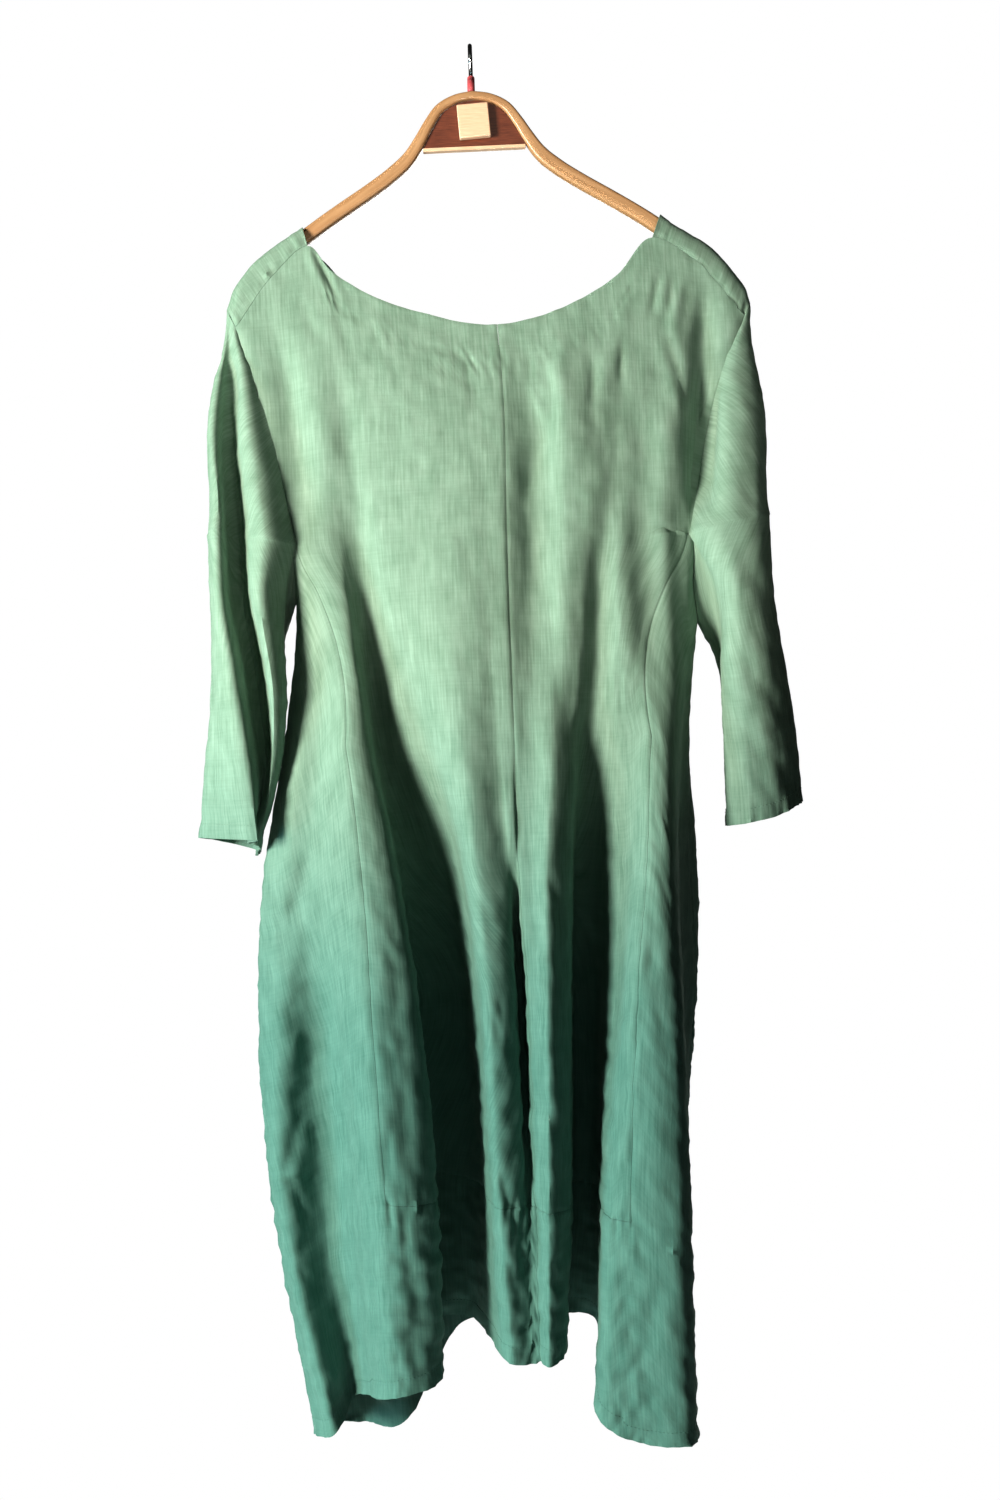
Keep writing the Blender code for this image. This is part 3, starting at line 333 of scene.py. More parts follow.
def hermite(knots: np.ndarray, values: np.ndarray, at: np.ndarray, level_turns: bool = False) -> np.ndarray:
    """Smooth curves through values at rising knots, one curve a row, read at the places given.

    Between two knots, with t from 0 to 1 and w the gap, the curve is
    a (1 + 2t)(1 - t)^2 + m w t (1 - t)^2 + b t^2 (3 - 2t) - n w t^2 (1 - t), where the slopes m and n
    come from each knot's two neighbours.

    Args:
        knots: (rows, K) rising.
        values: (rows, K, D).
        at: (rows, N).
        level_turns: makes the slope nought at each high or low point.

    Returns:
        (rows, N, D).
    """
    gaps = np.diff(knots, axis=1)[..., None]
    rises = np.diff(values, axis=1) / gaps
    inner = (rises[:, :-1] * gaps[:, 1:] + rises[:, 1:] * gaps[:, :-1]) / (gaps[:, 1:] + gaps[:, :-1])
    if level_turns:
        inner = np.where(rises[:, :-1] * rises[:, 1:] <= 0, 0.0, inner)
    slope = np.concatenate([rises[:, :1], inner, rises[:, -1:]], axis=1)
    at = np.clip(at, knots[:, :1], knots[:, -1:])
    span = (at[:, :, None] >= knots[:, None, 1:-1]).sum(axis=2)
    here, after = span[..., None], span[..., None] + 1
    width = np.take_along_axis(gaps, here, axis=1)
    t = (at - np.take_along_axis(knots, span, axis=1))[..., None] / width
    return (
        np.take_along_axis(values, here, axis=1) * (1 + 2 * t) * (1 - t) ** 2
        + np.take_along_axis(slope, here, axis=1) * width * t * (1 - t) ** 2
        + np.take_along_axis(values, after, axis=1) * t**2 * (3 - 2 * t)
        - np.take_along_axis(slope, after, axis=1) * width * t**2 * (1 - t)
    )


def curve(knots: np.ndarray, values: np.ndarray, at: np.ndarray) -> np.ndarray:
    """One smooth curve through (K, D) values at (K,) rising knots, read at (N,) places."""
    return hermite(knots[None], values[None], at[None])[0]


def unit(vectors: np.ndarray) -> np.ndarray:
    """Vectors made one long; one of no length stays nought."""
    return vectors / np.maximum(np.linalg.norm(vectors, axis=-1, keepdims=True), TINY)


def run_of(line: np.ndarray) -> np.ndarray:
    """Length along a line of points, from its first point."""
    return np.concatenate([[0.0], np.cumsum(np.linalg.norm(np.diff(line, axis=0), axis=1))])


def running(points: np.ndarray, axis: int) -> np.ndarray:
    """Length along each row or column of a grid.

    Args:
        points: (rows, columns, 3).
        axis: 0 to run down the columns, 1 to run along the rows.

    Returns:
        (rows, columns), nought at the first point of each run.
    """
    steps = np.linalg.norm(np.diff(points, axis=axis), axis=2)
    pad = [(0, 0), (0, 0)]
    pad[axis] = (1, 0)
    return np.pad(np.cumsum(steps, axis=axis), pad)


def bump(distance: np.ndarray, width: float) -> np.ndarray:
    """exp(-(distance / width)^2), a soft rise round nought."""
    return np.exp(-((distance / width) ** 2))


def ramp(value: np.ndarray, low: float, high: float) -> np.ndarray:
    """0 at low, 1 at high and a smooth 3t^2 - 2t^3 between."""
    t = np.clip((value - low) / (high - low), 0.0, 1.0)
    return t * t * (3 - 2 * t)


def shares(count: int, near_start: tuple = (), near_end: tuple = ()) -> np.ndarray:
    """Even shares from 0 to 1, with a few more close to either end."""
    return np.unique(np.concatenate([np.linspace(0.0, 1.0, count + 1), near_start, 1.0 - np.array(near_end)]))


TOP_SHARES = shares(TOP_ROWS, near_start=(0.006, 0.016))
MIDDLE_SHARES = shares(MIDDLE_ROWS, near_start=(0.002, 0.006), near_end=(0.002, 0.006))
LOW_SHARES = shares(LOW_ROWS, near_start=(0.006, 0.018), near_end=(0.006,))
SLEEVE_SHARES = shares(SLEEVE_ROWS, near_start=(0.004, 0.01), near_end=(0.006,))


def ring_points(points: np.ndarray, spans: list[np.ndarray]) -> np.ndarray:
    """Points round closed rows of fold lines.

    The knots are the running sum of the square roots of the chords. Across and depth are smooth
    curves, and height has level turns, as it must not pass the lines' own heights.

    Args:
        points: (rows, K, 3), the fold lines in order round the ring.
        spans: for each line the shares, from 0 to under 1, of the way to the next one.

    Returns:
        (rows, sum of the shares, 3).
    """
    lead, trail = 3, 4
    wrapped = np.concatenate([points[:, -lead:], points, points[:, :trail]], axis=1)
    chords = np.linalg.norm(np.diff(wrapped, axis=1), axis=2)
    knots = np.concatenate([np.zeros((len(points), 1)), np.cumsum(np.sqrt(chords), axis=1)], axis=1)
    first = np.repeat(lead + np.arange(len(spans)), [len(span) for span in spans])
    at = knots[:, first] + (knots[:, first + 1] - knots[:, first]) * np.concatenate(spans)
    plan = hermite(knots, wrapped[:, :, :2], at)
    heights = hermite(knots, wrapped[:, :, 2:], at, level_turns=True)
    return np.concatenate([plan, heights], axis=2)


def span_shares(steps: int, after_seam: bool, before_seam: bool) -> np.ndarray:
    """Shares of the way between two fold lines: k / n, raised to a power that crowds them at a seam.

    Args:
        steps: the table's steps, each cut FINER times.
        after_seam: crowds the start.
        before_seam: crowds the end.

    Returns:
        (steps FINER,) from 0 to under 1.
    """
    share = np.arange(steps * FINER) / (steps * FINER)
    if after_seam:
        share = share**SEAM_CLUSTER
    if before_seam:
        share = 1 - (1 - share) ** SEAM_CLUSTER
    return share


def top_height(line: Line) -> float:
    """Height where a fold line begins: on the shoulder seam, at its outer end or on the neck edge.

    Args:
        line: the fold line.

    Returns:
        The height in mm. The back of the neck stands BACK_NECK_RISE off the front.
    """
    x = line.x[Station.TOP]
    if abs(x) > BEYOND_SHOULDER_X and x not in SHOULDER_SEAM_Z:
        x = SHOULDER_END_LEFT if x < 0 else SHOULDER_END_RIGHT
    if x in SHOULDER_SEAM_Z:
        return SHOULDER_SEAM_Z[x]
    edge = np.array(NECK_EDGE, float)
    is_back = line.name.startswith("back") and edge[0, 0] < x < edge[-1, 0]
    return float(curve(edge[:, 0], edge[:, 1:], np.array([x]))[0, 0]) + (BACK_NECK_RISE if is_back else 0.0)


def underarm_height(line: Line) -> float:
    """Height of a fold line at the armhole's bottom, which dips between the opening's two edges.

    The dip is drop (1 - s^2), with s from -1 to 1 between the front and the back edge.

    Args:
        line: the fold line.

    Returns:
        The height in mm.
    """
    if line.name not in SIDE_LINES:
        return UNDERARM_Z
    middle, half = (ARMHOLE_FRONT_Y + ARMHOLE_BACK_Y) / 2, (ARMHOLE_BACK_Y - ARMHOLE_FRONT_Y) / 2
    drop = UNDERARM_DROP_LEFT if line.x[Station.UNDERARM] < 0 else UNDERARM_DROP_RIGHT
    return UNDERARM_Z - drop * (1 - ((line.y[Station.UNDERARM] - middle) / half) ** 2)


class Waves(NamedTuple):
    """Uneven ripples: a sum of sines of mixed wavelength and way, the same on each run."""

    seed: int
    count: int
    shortest: float
    longest: float
    lean: float = 0.0

    def at(self, across: np.ndarray, down: np.ndarray) -> np.ndarray:
        """Height of the ripples, of about -1 to 1.

        It is the sum of sin(2 pi (x cos a + z sin a) / wavelength + phase), over sqrt(count / 2).

        Args:
            across: places across the cloth, in mm.
            down: places down the cloth, in mm.

        Returns:
            The height at each place. lean pulls the crests upright.
        """
        rng = np.random.default_rng(self.seed)
        total = np.zeros_like(across)
        for _ in range(self.count):
            length = self.shortest * (self.longest / self.shortest) ** rng.random()
            turn = (rng.random() - 0.5) * math.pi * (1 - self.lean)
            phase = rng.random() * 2 * math.pi
            way = across * math.cos(turn) + down * math.sin(turn)
            total += np.sin(2 * math.pi * way / length + phase)
        return total / math.sqrt(self.count / 2)


CRUMPLE = Waves(seed=11, count=26, shortest=16.0, longest=52.0)
FINE_CRUMPLE = Waves(seed=5, count=22, shortest=7.0, longest=15.0)
PUCKER = Waves(seed=23, count=9, shortest=7.0, longest=15.0, lean=0.9)
HEM_PUCKER = Waves(seed=31, count=9, shortest=8.0, longest=18.0, lean=0.85)


class Form(NamedTuple):
    """A small form of the cloth: its depth and width in mm; a small stretch draws puckers out downwards."""

    depth: float
    width: float
    stretch: float = 1.0


@dataclass(frozen=True)
class Relief:
    """The cloth's own small forms, and where they stand from an edge or seam, in mm."""

    cloth_half: float = 0.4
    hem_half: float = 0.85
    hem_width: float = 13.0
    hem_step: float = 1.5
    hem_pinch: Form = Form(0.45, 1.6)
    hem_fullness: float = 0.2
    hem_full_at: float = 2.0
    hem_full_past: float = 1.0
    crumple: float = 0.24
    fine_crumple: float = 0.08
    low_crumple: float = 1.5
    low_crumple_from: float = 560.0
    low_crumple_full: float = 940.0
    seam_sink: Form = Form(0.35, 1.3)
    seam_ridge: Form = Form(0.14, 2.6)
    seam_ridge_place: float = 4.0
    facing_place: float = 38.0
    facing_sink: Form = Form(0.7, 2.2)
    facing_pucker: Form = Form(0.3, 9.0, 0.2)
    neck_roll: Form = Form(0.35, 3.0)
    gather: Form = Form(0.75, 17.0, 0.15)
    gather_above: float = 0.4
    hem_ripple: Form = Form(0.35, 16.0, 0.1)
    cuff_ripple: Form = Form(0.6, 11.0, 0.2)
    yoke_pucker: Form = Form(0.6, 11.0, 0.25)
    cap_settles: float = 5.0
    yoke_settles: float = 6.0
    pucker_settles: float = 2.5

    def seam(self, distance: np.ndarray) -> np.ndarray:
        """A pressed seam: sunk at its line, with the turnings' soft ridge beside it."""
        ridge = self.seam_ridge.depth * bump(distance - self.seam_ridge_place, self.seam_ridge.width)
        return ridge - self.seam_sink.depth * bump(distance, self.seam_sink.width)

    def hem(self, distance: np.ndarray) -> np.ndarray:
        """A turned and stitched hem: full at the edge, drawn in at the stitches."""
        full = self.hem_fullness * ramp(distance, self.hem_width + self.hem_full_past, self.hem_full_at)
        return full - self.hem_pinch.depth * bump(distance - self.hem_width, self.hem_pinch.width)

    def half(self, distance: np.ndarray) -> np.ndarray:
        """Half of the cloth's thickness: three layers within the hem, one beyond it."""
        beyond = ramp(distance, self.hem_width - self.hem_step, self.hem_width + self.hem_step)
        return self.hem_half + (self.cloth_half - self.hem_half) * beyond

    def crumples(self, across: np.ndarray, down: np.ndarray) -> np.ndarray:
        """The coarse and the fine crumple together."""
        return self.crumple * CRUMPLE.at(across, down) + self.fine_crumple * FINE_CRUMPLE.at(across, down)

    def ripples(self, form: Form, across: np.ndarray, down: np.ndarray, to_edge: np.ndarray) -> np.ndarray:
        """A hem's ripples, which fade by exp(-d / width) with the distance d from its edge."""
        return form.depth * HEM_PUCKER.at(across, down * form.stretch) * np.exp(-to_edge / form.width)


def front_view(points: np.ndarray) -> np.ndarray:
    """Where points stand in the front view's plane, along straight sight lines from SEEN_FROM.

    Args:
        points: any grid of points, in mm.

    Returns:
        (N, 2) x and z.
    """
    flat = points.reshape(-1, 3)
    scale = (SEEN_PLANE_Y - SEEN_FROM[1]) / (flat[:, 1] - SEEN_FROM[1])
    seen = [SEEN_FROM[axis] + (flat[:, axis] - SEEN_FROM[axis]) * scale for axis in (0, 2)]
    return np.column_stack(seen)


def outward_of(points: np.ndarray) -> np.ndarray:
    """Unit normals of a grid whose rows run down and whose columns run round."""
    return unit(np.cross(np.gradient(points, axis=0), np.gradient(points, axis=1)))


def crease_relief(seen: np.ndarray, creases: tuple) -> np.ndarray:
    """Relief of all creases at places of the front view.

    For a crease of length L with t along it and s aside of it, less its bow 4 t (1 - t), the relief
    is -depth (exp(-(s / w)^2) - 0.35 exp(-((|s| - 2 w) / 1.3 w)^2)), faded at both ends.

    Args:
        seen: (N, 2) x and z in the front view's plane.
        creases: the table's rows.

    Returns:
        (N,) in mm.
    """
    past_end, faded_over, reach = -0.2, 0.3, 5
    bank, bank_place, bank_width = 0.35, 2, 1.3
    total = np.zeros(len(seen))
    for crease in creases:
        start = np.array([crease.x0, crease.z0])
        along = np.array([crease.x1, crease.z1]) - start
        length = float(np.hypot(*along))
        offset = seen - start
        t = offset @ along / length**2
        aside = (along[0] * offset[:, 1] - along[1] * offset[:, 0]) / length - crease.bow * 4 * t * (1 - t)
        near = (t > past_end) & (t < 1 - past_end) & (np.abs(aside) < reach * crease.width)
        t, aside = t[near], np.abs(aside[near])
        ends = ramp(t, past_end, faded_over) * ramp(1 - t, past_end, faded_over)
        banks = bank * bump(aside - bank_place * crease.width, bank_width * crease.width)
        total[near] -= crease.depth * (bump(aside, crease.width) - banks) * ends
    return total


@dataclass
class Patch:
    """A grid of cloth points with its relief, half thickness and weave places, and each panel's cells.

    stitch_row is the row at each column where the hem's stitches run, and turned says that the
    grid's faces look inwards.
    """

    points: np.ndarray
    relief: np.ndarray
    half: np.ndarray
    weave: np.ndarray
    cells: dict[str, np.ndarray]
    stitch_row: np.ndarray | None = None
    turned: bool = False

    @classmethod
    def of_one_panel(
        cls, name: str, points: np.ndarray, relief: np.ndarray, half: np.ndarray, **more: object
    ) -> "Patch":
        """A patch that is all one panel, with its weave along its rows and columns.

        Args:
            name: the panel's name.
            points: (rows, columns, 3).
            relief: (rows, columns).
            half: (rows, columns).
            more: the other fields.

        Returns:
            The patch.
        """
        weave = np.stack([running(points, 1), -running(points, 0)], axis=2)
        cells = np.ones((points.shape[0] - 1, points.shape[1] - 1), bool)
        return cls(points, relief, half, weave, {name: cells}, **more)


@dataclass
class BodyForm:
    """The body of the dress: fold lines round it, from the neck and shoulders to the hem."""

    relief: Relief = field(default_factory=Relief)
    neck_from_x: float = -143.0
    neck_to_x: float = 150.0

    def __post_init__(self) -> None:
        """Works out the whole body's grid and the column of each fold line."""
        back = [BACK_RIGHT, BACK_SHOULDER, *BACK_LINES[::-1]]
        self.lines = [*FRONT_LINES, *back]
        steps = [line.steps for line in (*FRONT_LINES, *back[1:])] + [LEFT_BACK_SIDE_STEPS]
        names = [line.name for line in self.lines]
        spans = [
            span_shares(count, name in SEAM_LINES, after in SEAM_LINES)
            for count, name, after in zip(steps, names, names[1:] + names[:1])
        ]
        starts = np.cumsum([0] + [len(span) for span in spans])
        self.column = {name: int(start) for name, start in zip(names, starts)}
        self.columns = int(starts[-1])
        self.under = len(TOP_SHARES) - 1
        self.band = self.under + len(MIDDLE_SHARES) - 1
        ring = ring_points(self.tracks(), spans)
        self.grid = np.concatenate([ring, ring[:, :1]], axis=1)
        self.around = running(self.grid, 1)
        self.down = running(self.grid, 0)
        self.to_hem = self.down[-1:] - self.down
        top_x = self.grid[0, :, 0]
        self.at_neck = ((top_x > self.neck_from_x) & (top_x < self.neck_to_x)).astype(float)[None, :]
        self.threads = self.thread_places()

    def tracks(self) -> np.ndarray:
        """Each fold line's points at every row.

        Returns:
            (rows, lines, 3).
        """
        tops = np.array([top_height(line) for line in self.lines])
        under = np.array([underarm_height(line) for line in self.lines])
        band = np.array([BAND_Z + BAND_SLOPE * line.x[Station.BAND] for line in self.lines])
        hem = np.array([line.hem_z for line in self.lines])
        level = np.ones(len(self.lines))
        heights = [tops, BUST_Z * level, under, WAIST_Z * level, HIP_Z * level, THIGH_Z * level, band, hem]
        rows = np.concatenate([
            tops + (under - tops) * TOP_SHARES[:, None],
            under + (band - under) * MIDDLE_SHARES[1:, None],
            band + (hem - band) * LOW_SHARES[1:, None],
        ])
        plan = np.array([np.column_stack([line.x, line.y]) for line in self.lines], float)
        found = hermite(-np.stack(heights, axis=1), plan, -rows.T)
        bow = np.array([SEAM_BOW.get(line.name, 0.0) for line in self.lines])[:, None]
        share = np.clip((rows.T - under[:, None]) / (WAIST_Z - under[:, None]), 0.0, 1.0)
        found[..., 0] += bow * np.sin(math.pi * share) * ramp(share, 0.0, BOW_START)
        return np.concatenate([found, rows.T[..., None]], axis=2).transpose(1, 0, 2)

    def thread_places(self) -> np.ndarray:
        """Places on the weave: upright threads keep their distance from the seam or fold nearest to them.

        Across is the level way from the centre seam. Below the underarm each row of the table slides
        the columns that its weights pick out by as much as its fold line has moved from that seam.

        Returns:
            (rows, columns, 2) across and up, in mm.
        """
        level = running(self.grid * (1.0, 1.0, 0.0), 1)
        home = level[:, self.column["centre_seam"], None]
        across = level - home
        below = np.arange(len(level))[:, None] > self.under
        for name, knots, weights in (
            ("left_princess", ("left_lip", "undercut_left"), (1.0, 0.0)),
            (
                "right_princess",
                ("right_valley_left", "right_lip", "side_right", "back_right"),
                (0.0, 1.0, 1.0, 0.0),
            ),
            ("back_ridge_3", ("side_right", "back_right"), (0.0, 1.0)),
        ):
            away = home - level[:, self.column[name], None]
            weight = np.interp(np.arange(self.columns + 1), [self.column[knot] for knot in knots], weights)
            across = across + np.where(below, away - away[self.under], 0.0) * weight
        return np.stack([across, self.down[self.under] - self.down], axis=2)

    def aside(self, name: str) -> np.ndarray:
        """Distance along each row from a fold line, the shorter way round."""
        away = np.abs(self.around - self.around[:, self.column[name], None])
        return np.minimum(away, self.around[:, -1:] - away)

    def seam_relief(self) -> np.ndarray:
        """Seams down the body, the band's seam with its gathers, the neck's facing and the hem.

        Returns:
            (rows, columns) in mm along the normals.
        """
        rows = np.arange(len(self.grid))[:, None]
        part = self.relief
        total = np.zeros(self.around.shape)
        for name in SEAM_LINES:
            starts_at = 0 if name == "centre_seam" else self.under
            ends_at = self.band if name.endswith("princess") else len(self.grid)
            exists = (rows >= starts_at) & (rows <= ends_at)
            total += np.where(exists, part.seam(self.aside(name)), 0.0)
        columns = np.arange(self.columns + 1)[None, :]
        is_front = (columns >= self.column["left_princess"]) & (columns <= self.column["right_princess"])
        from_band = np.abs(self.down - self.down[self.band])
        fade_over = np.where(rows >= self.band, part.gather.width, part.gather.width * part.gather_above)
        gathers = part.gather.depth * PUCKER.at(self.around, self.down * part.gather.stretch)
        gathers *= np.exp(-from_band / fade_over)
        total += np.where(is_front, part.seam(from_band) + gathers, 0.0)
        from_facing = self.down - part.facing_place
        total -= part.facing_sink.depth * bump(from_facing, part.facing_sink.width) * self.at_neck
        pucker = part.facing_pucker
        drawn_in = PUCKER.at(self.around, self.down * pucker.stretch) * bump(from_facing, pucker.width)
        total += pucker.depth * drawn_in * self.at_neck
        rolled = self.down - part.neck_roll.width
        total += part.neck_roll.depth * bump(rolled, part.neck_roll.width) * self.at_neck
        total += part.hem(self.to_hem) + part.ripples(part.hem_ripple, self.around, self.down, self.to_hem)
        return total

    def patch(self) -> Patch:
        """The body's grid with all its relief: the creases on the front, and softly again on the back.

        Returns:
            One patch, which holds five panels.
        """
        part = self.relief
        points, shape = self.grid, self.around.shape
        facing = outward_of(points)[..., 1]
        total = crease_relief(front_view(points), FRONT_CREASES).reshape(shape) * ramp(-facing, *FRONT_FACING)
        behind = tuple(crease.behind() for crease in FRONT_CREASES)
        flat = points.reshape(-1, 3)[:, ::2]
        total += crease_relief(flat, behind).reshape(shape) * ramp(facing, *BACK_FACING)
        total += self.seam_relief()
        wear = 1.0 + part.low_crumple * ramp(-points[..., 2], part.low_crumple_from, part.low_crumple_full)
        total += wear * part.crumples(self.threads[..., 0], self.threads[..., 1])
        half = np.where(self.at_neck > 0, part.cloth_half, part.half(self.to_hem))
        stitch_row = np.abs(self.to_hem - part.hem_width).argmin(axis=0)
        return Patch(points, total, half, self.threads, self.cells(), stitch_row)

    def cells(self) -> dict[str, np.ndarray]:
        """Which cells of the grid each panel has.

        Returns:
            The panel's name to (rows - 1, columns - 1) yes or no.
        """
        r, c = np.meshgrid(np.arange(len(self.grid) - 1), np.arange(self.columns), indexing="ij")
        col = self.column
        left, centre, right = col["left_princess"], col["centre_seam"], col["right_princess"]
        side, back_right, back_left = col["side_right"], col["back_right"], col["back_left"]
        under, band = self.under, self.band
        return {
            "front_left": (c >= left) & (c < centre) & (r < band),
            "front_right": (c >= centre) & (c < right) & (r < band),
            "side_left": (c < centre) & (r >= np.where(c < left, under, band)),
            "side_right": (c >= centre) & (c < side) & (r >= np.where(c < right, band, under)),
            "back": ((c >= back_right) & (c < back_left)) | ((c >= side) & (r >= under)),
        }


@dataclass
class YokeForm:
    """A shoulder strip over the hanger's arm, between the forward shoulder seam and the back's edge."""

    side: Side
    top: tuple
    relief: Relief = field(default_factory=Relief)
    crumple_shift: float = 300.0

    def points(self, front_edge: np.ndarray, back_edge: np.ndarray) -> np.ndarray:
        """Squared half ellipses between the strip's two seams.

        With a from 0 to pi, the way across is -sign(cos a) |cos a|^(2/n) and the lift |sin a|^(2/n).

        Args:
            front_edge: (N, 3) points of the forward shoulder seam.
            back_edge: (N, 3) points of the seam behind.

        Returns:
            (rows, N, 3), rows from the back seam over the top to the front seam.
        """
        places = np.array(self.top, float)
        along = np.linspace(0.0, 1.0, len(places))
        crown = curve(along, places, np.linspace(0.0, 1.0, len(front_edge)))
        turn = np.linspace(0.0, math.pi, YOKE_STEPS * FINER + 1)[:, None, None]
        power = 2 / YOKE_SQUARENESS
        across = -np.sign(np.cos(turn)) * np.abs(np.cos(turn)) ** power
        lift = np.abs(np.sin(turn[..., 0])) ** power
        strip = back_edge + (front_edge - back_edge) * (1 + across) / 2
        strip[..., ::2] += (crown - strip[..., ::2]) * lift[..., None]
        strip[0], strip[-1] = back_edge, front_edge
        return strip

    def patch(self, points: np.ndarray) -> Patch:
        """The strip with its seams' puckers and faint crumples, which stop at the seams.

        Args:
            points: the strip's own points.

        Returns:
            One patch, the whole strip.
        """
        around, down = running(points, 1) + self.crumple_shift * self.side.value, running(points, 0)
        part, pucker = self.relief, self.relief.yoke_pucker
        to_seam = np.minimum(down, down[-1:] - down)
        total = part.crumple * CRUMPLE.at(around, down) * ramp(to_seam, 0.0, part.yoke_settles)
        fade = np.exp(-to_seam / pucker.width) * ramp(to_seam, 0.0, part.pucker_settles)
        total += pucker.depth * PUCKER.at(around, down * pucker.stretch) * fade + part.seam(to_seam)
        half = np.full(down.shape, part.cloth_half)
        return Patch.of_one_panel("shoulder_" + self.side.name.lower(), points, total, half)


@dataclass
class SleeveForm:
    """A set-in sleeve: a cap between the armhole's edges, and a tube from there to the cuff."""

    side: Side
    lines: tuple
    inner: SleeveLine
    relief: Relief = field(default_factory=Relief)
    crumple_shift: float = 700.0

    def sections(self, inner_columns: int) -> tuple[np.ndarray, np.ndarray]:
        """The sleeve's closed sections at its four stations, and the cuff's height at each column.

        Args:
            inner_columns: how many columns run across the armhole's bottom.

        Returns:
            (4, columns, 2) x and depth, and (columns,) heights.
        """
        around = [*self.lines, self.inner]
        half = (inner_columns // FINER) // 2 * FINER
        steps = [line.steps * FINER for line in self.lines[:-1]] + [half, inner_columns - half]
        spans = [np.arange(count) / count for count in steps]
        points = np.array([[(line.out[s], line.y[s], 0.0) for line in around] for s in range(4)], float)
        rings = ring_points(points, spans)[..., :2]
        rings[..., 0] *= self.side.value
        ends = np.array([line.cuff_z for line in (*around, around[0])], float)
        return rings, np.interp(np.arange(sum(steps)), np.cumsum([0, *steps]), ends)

    def patches(
        self, yoke_end: np.ndarray, front: np.ndarray, back: np.ndarray, underarm: np.ndarray
    ) -> list[Patch]:
        """The cap, blended between its four edges, and the tube, a smooth curve down through the sections.

        Args:
            yoke_end: the shoulder strip's end, from back to front.
            front: the armhole's front edge, down.
            back: the armhole's back edge, down.
            underarm: the armhole's bottom, from front to back.

        Returns:
            Two patches of this sleeve.
        """
        rings, cuffs = self.sections(len(underarm) - 1)
        count = len(yoke_end)
        share = np.linspace(0.0, 1.0, count)
        bottom = np.column_stack([rings[0, :count], UNDERARM_Z + CAP_LIFT * np.sin(math.pi * share)])
        for end, seam, distance in ((0, back[-1], share), (-1, front[-1], 1 - share)):
            hold = np.clip(1 - distance / CAP_HOLD, 0.0, 1.0)[:, None] ** 2
            bottom = bottom + (seam - bottom[end]) * hold
        bottom[0], bottom[-1] = back[-1], front[-1]
        down, aside = TOP_SHARES[:, None, None], share[None, :, None]
        ends = yoke_end * (1 - down) + bottom * down
        cap = back[:, None] * (1 - aside) + front[:, None] * aside
        cap = cap + ends - ends[:, :1] * (1 - aside) - ends[:, -1:] * aside
        out = self.side.value * SLEEVE_CAP_BULGE
        cap[..., 0] += out * np.sin(math.pi * down[..., 0]) ** 2 * np.sin(math.pi * share)
        cap[0], cap[-1] = yoke_end, bottom
        top = np.concatenate([bottom, underarm[1:-1]])
        fall = (cuffs - top[:, 2])[:, None]
        knots = top[:, 2:] + fall * np.array([0.0, *SLEEVE_STATION_SHARE, 1.0])
        plan = np.concatenate([top[:, None, :2], rings.transpose(1, 0, 2)], axis=1)
        at = top[:, 2:] + fall * SLEEVE_SHARES
        tube = np.concatenate([hermite(-knots, plan, -at), at[..., None]], axis=2).transpose(1, 0, 2)
        tube = np.concatenate([tube, tube[:, :1]], axis=1)
        return [self.dressed(cap, is_tube=False), self.dressed(tube, is_tube=True)]

    def dressed(self, points: np.ndarray, is_tube: bool) -> Patch:
        """A patch with crumples, soft lengthways folds and, on the tube, the puckered cuff.

        Args:
            points: the cap's or the tube's own points.
            is_tube: turns a hem at the last row; the cap's relief starts from nought at its first.

        Returns:
            The patch.
        """
        part = self.relief
        around, down = running(points, 1) + self.crumple_shift * self.side.value, running(points, 0)
        total = part.crumples(around, down)
        half, stitch_row = np.full(around.shape, part.cloth_half), None
        if is_tube:
            to_cuff = down[-1:] - down
            total += part.hem(to_cuff) + part.ripples(part.cuff_ripple, around, down, to_cuff)
            half, stitch_row = part.half(to_cuff), np.abs(to_cuff - part.hem_width).argmin(axis=0)
        forward = outward_of(points)[..., 1] * self.side.value
        drawn = crease_relief(front_view(points), SLEEVE_CREASES).reshape(around.shape)
        total += drawn * ramp(forward, *SLEEVE_FACING)
        if not is_tube:
            total *= ramp(down, 0.0, part.cap_settles)
        name = "sleeve_" + self.side.name.lower()
        is_turned = self.side is Side.RIGHT
        return Patch.of_one_panel(name, points, total, half, stitch_row=stitch_row, turned=is_turned)


class Shape(NamedTuple):
    """A mesh: its points in mm, its four-cornered faces and, at each corner, the place in the weave."""

    points: np.ndarray
    faces: np.ndarray
    weave: np.ndarray


def placed(name: str, data: bpy.types.ID) -> Object:
    """A new object of some data at the scene's origin.

    Args:
        name: the object's name.
        data: its mesh, light or camera.

    Returns:
        The object.
    """
    made = bpy.data.objects.new(name, data)
    bpy.context.scene.collection.objects.link(made)
    return made


